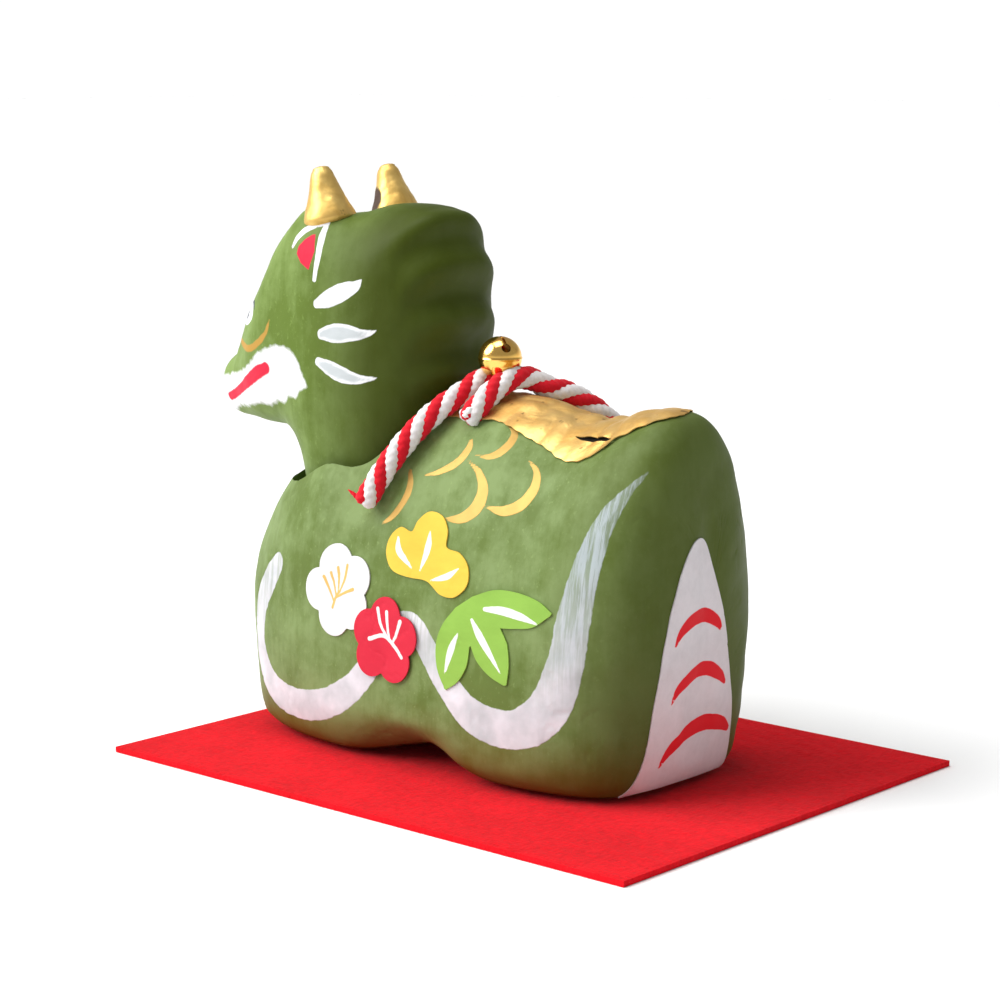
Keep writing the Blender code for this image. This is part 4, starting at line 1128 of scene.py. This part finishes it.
piece = makeBell()
gilt = Finish("giltBrass", bell["gold"], 0.13, 1.0)
scuff = gilt.noise(1, detail=4, rough=0.6, where=gilt.stretched((900, 900, 2600)))
stain = gilt.noise(420, detail=3)
gilt.set("Base Color", gilt.mix(gilt.ranged(stain, 0.45, 0.75), bell["gold"], (0.80, 0.40, 0.07)))
gilt.set("Roughness", gilt.ranged(scuff + stain * 0.5, 0.5, 1.0, 0.10, 0.24))
gilt.set("Normal", gilt.bump(scuff * 0.3 + stain, 0.03, 0.4))
gilt.on(piece)
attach(piece, "dragon")
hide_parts("bell_upper", "bell_lower")
print("bell built")


# ---- felt mat ----
mat = {"red": (0.76, 0.004, 0.012), "deep": (0.52, 0.002, 0.007), "width": 78, "length": 100, "thick": 1.0,
       "step": 0.8, "nap": 0.05}


def makeMat():
    across, along = (np.linspace(-side / 2, side / 2, int(side / mat["step"]) + 1)
                     for side in (mat["width"], mat["length"]))
    grid = np.stack(np.meshgrid(across, along, indexing="ij"), -1)
    rows, columns = grid.shape[:2]
    flat = grid.reshape(-1, 2)
    edge = np.minimum(mat["width"] / 2 - np.abs(flat[:, 0]), mat["length"] / 2 - np.abs(flat[:, 1]))
    soft = np.clip(edge / 0.8, 0, 1) ** 0.5
    bumps = mat["nap"] * waves(np.column_stack([flat, flat[:, 0] * 0]), 2.6, 61) - 0.05
    top = np.column_stack([flat, mat["thick"] - 0.16 * (1 - soft) + bumps * soft])
    under = np.column_stack([flat, np.full(len(flat), 0.02)])
    k = np.arange(rows * columns).reshape(rows, columns)
    quads = np.stack([k[:-1, :-1], k[1:, :-1], k[1:, 1:], k[:-1, 1:]], -1).reshape(-1, 4)
    rim = np.concatenate([k[:, 0], k[-1, 1:], k[-2::-1, -1], k[0, -2:0:-1]])
    after, count = np.roll(rim, -1), rows * columns
    sides = np.stack([rim, rim + count, after + count, after], -1)
    faces = np.concatenate([quads, quads[:, ::-1] + count, sides])
    return shaded(meshPiece("felt_sheet", np.concatenate([top, under]), faces), 50)


piece = makeMat()
felt = Finish("redFelt", mat["red"], 0.95, Sheen_Weight=0.05, Specular_IOR_Level=0.05)
hairs = felt.noise(1, detail=4, rough=0.75, where=felt.stretched((2300, 700, 900), (0, 0, 0.5)))
crossed = felt.noise(1, detail=4, rough=0.75, where=felt.stretched((600, 2200, 900), (0, 0, 0.9)))
cloud = felt.noise(90, detail=3)
felt.set("Base Color", felt.mix(felt.ranged(hairs * 0.5 + crossed * 0.5 + (cloud - 0.5) * 0.3, 0.36, 0.62),
                                mat["deep"], mat["red"]))
felt.set("Normal", felt.bump(hairs + crossed + cloud * 0.6, 0.22, 0.8))
felt.on(piece)
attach(piece, "mat")
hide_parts("felt_mat")
print("mat built")


# ---- the parts inside, which stay as the frame has them ----
inside = {
    "hanger_wire": ("drawnWire", (0.42, 0.42, 0.43), 0.32, 1.0),
    "hanger_link": ("drawnWire", (0.42, 0.42, 0.43), 0.32, 1.0),
    "bell_pellet": ("pelletSteel", (0.40, 0.39, 0.37), 0.35, 1.0),
    "bell_loop": ("loopBrass", (0.80, 0.50, 0.14), 0.25, 1.0),
    "neck_stick": ("stickWood", (0.52, 0.34, 0.17), 0.7, 0.0),
    "counterweight": ("slugIron", (0.10, 0.10, 0.10), 0.75, 0.9),
}
made = {}
for node, (name, colour, rough, metal) in inside.items():
    if name not in made:
        finish = made[name] = Finish(name, colour, rough, metal)
        grain = finish.noise(1, detail=4, rough=0.6,
                             where=finish.stretched((300, 60 if name == "stickWood" else 300, 300)))
        spots = finish.noise(900, detail=2)
        finish.set("Base Color",
                   finish.mix(finish.ranged(grain, 0.35, 0.65), [share * 0.6 for share in colour], colour))
        finish.set("Roughness", finish.ranged(spots, 0.3, 0.7, rough - 0.1, rough + 0.1))
        finish.set("Normal", finish.bump(grain + spots * 0.5, 0.03, 0.6))
    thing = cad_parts[node]
    for slot in thing.material_slots:
        slot.material = made[name].material
print("inner parts finished")

makeStudio()
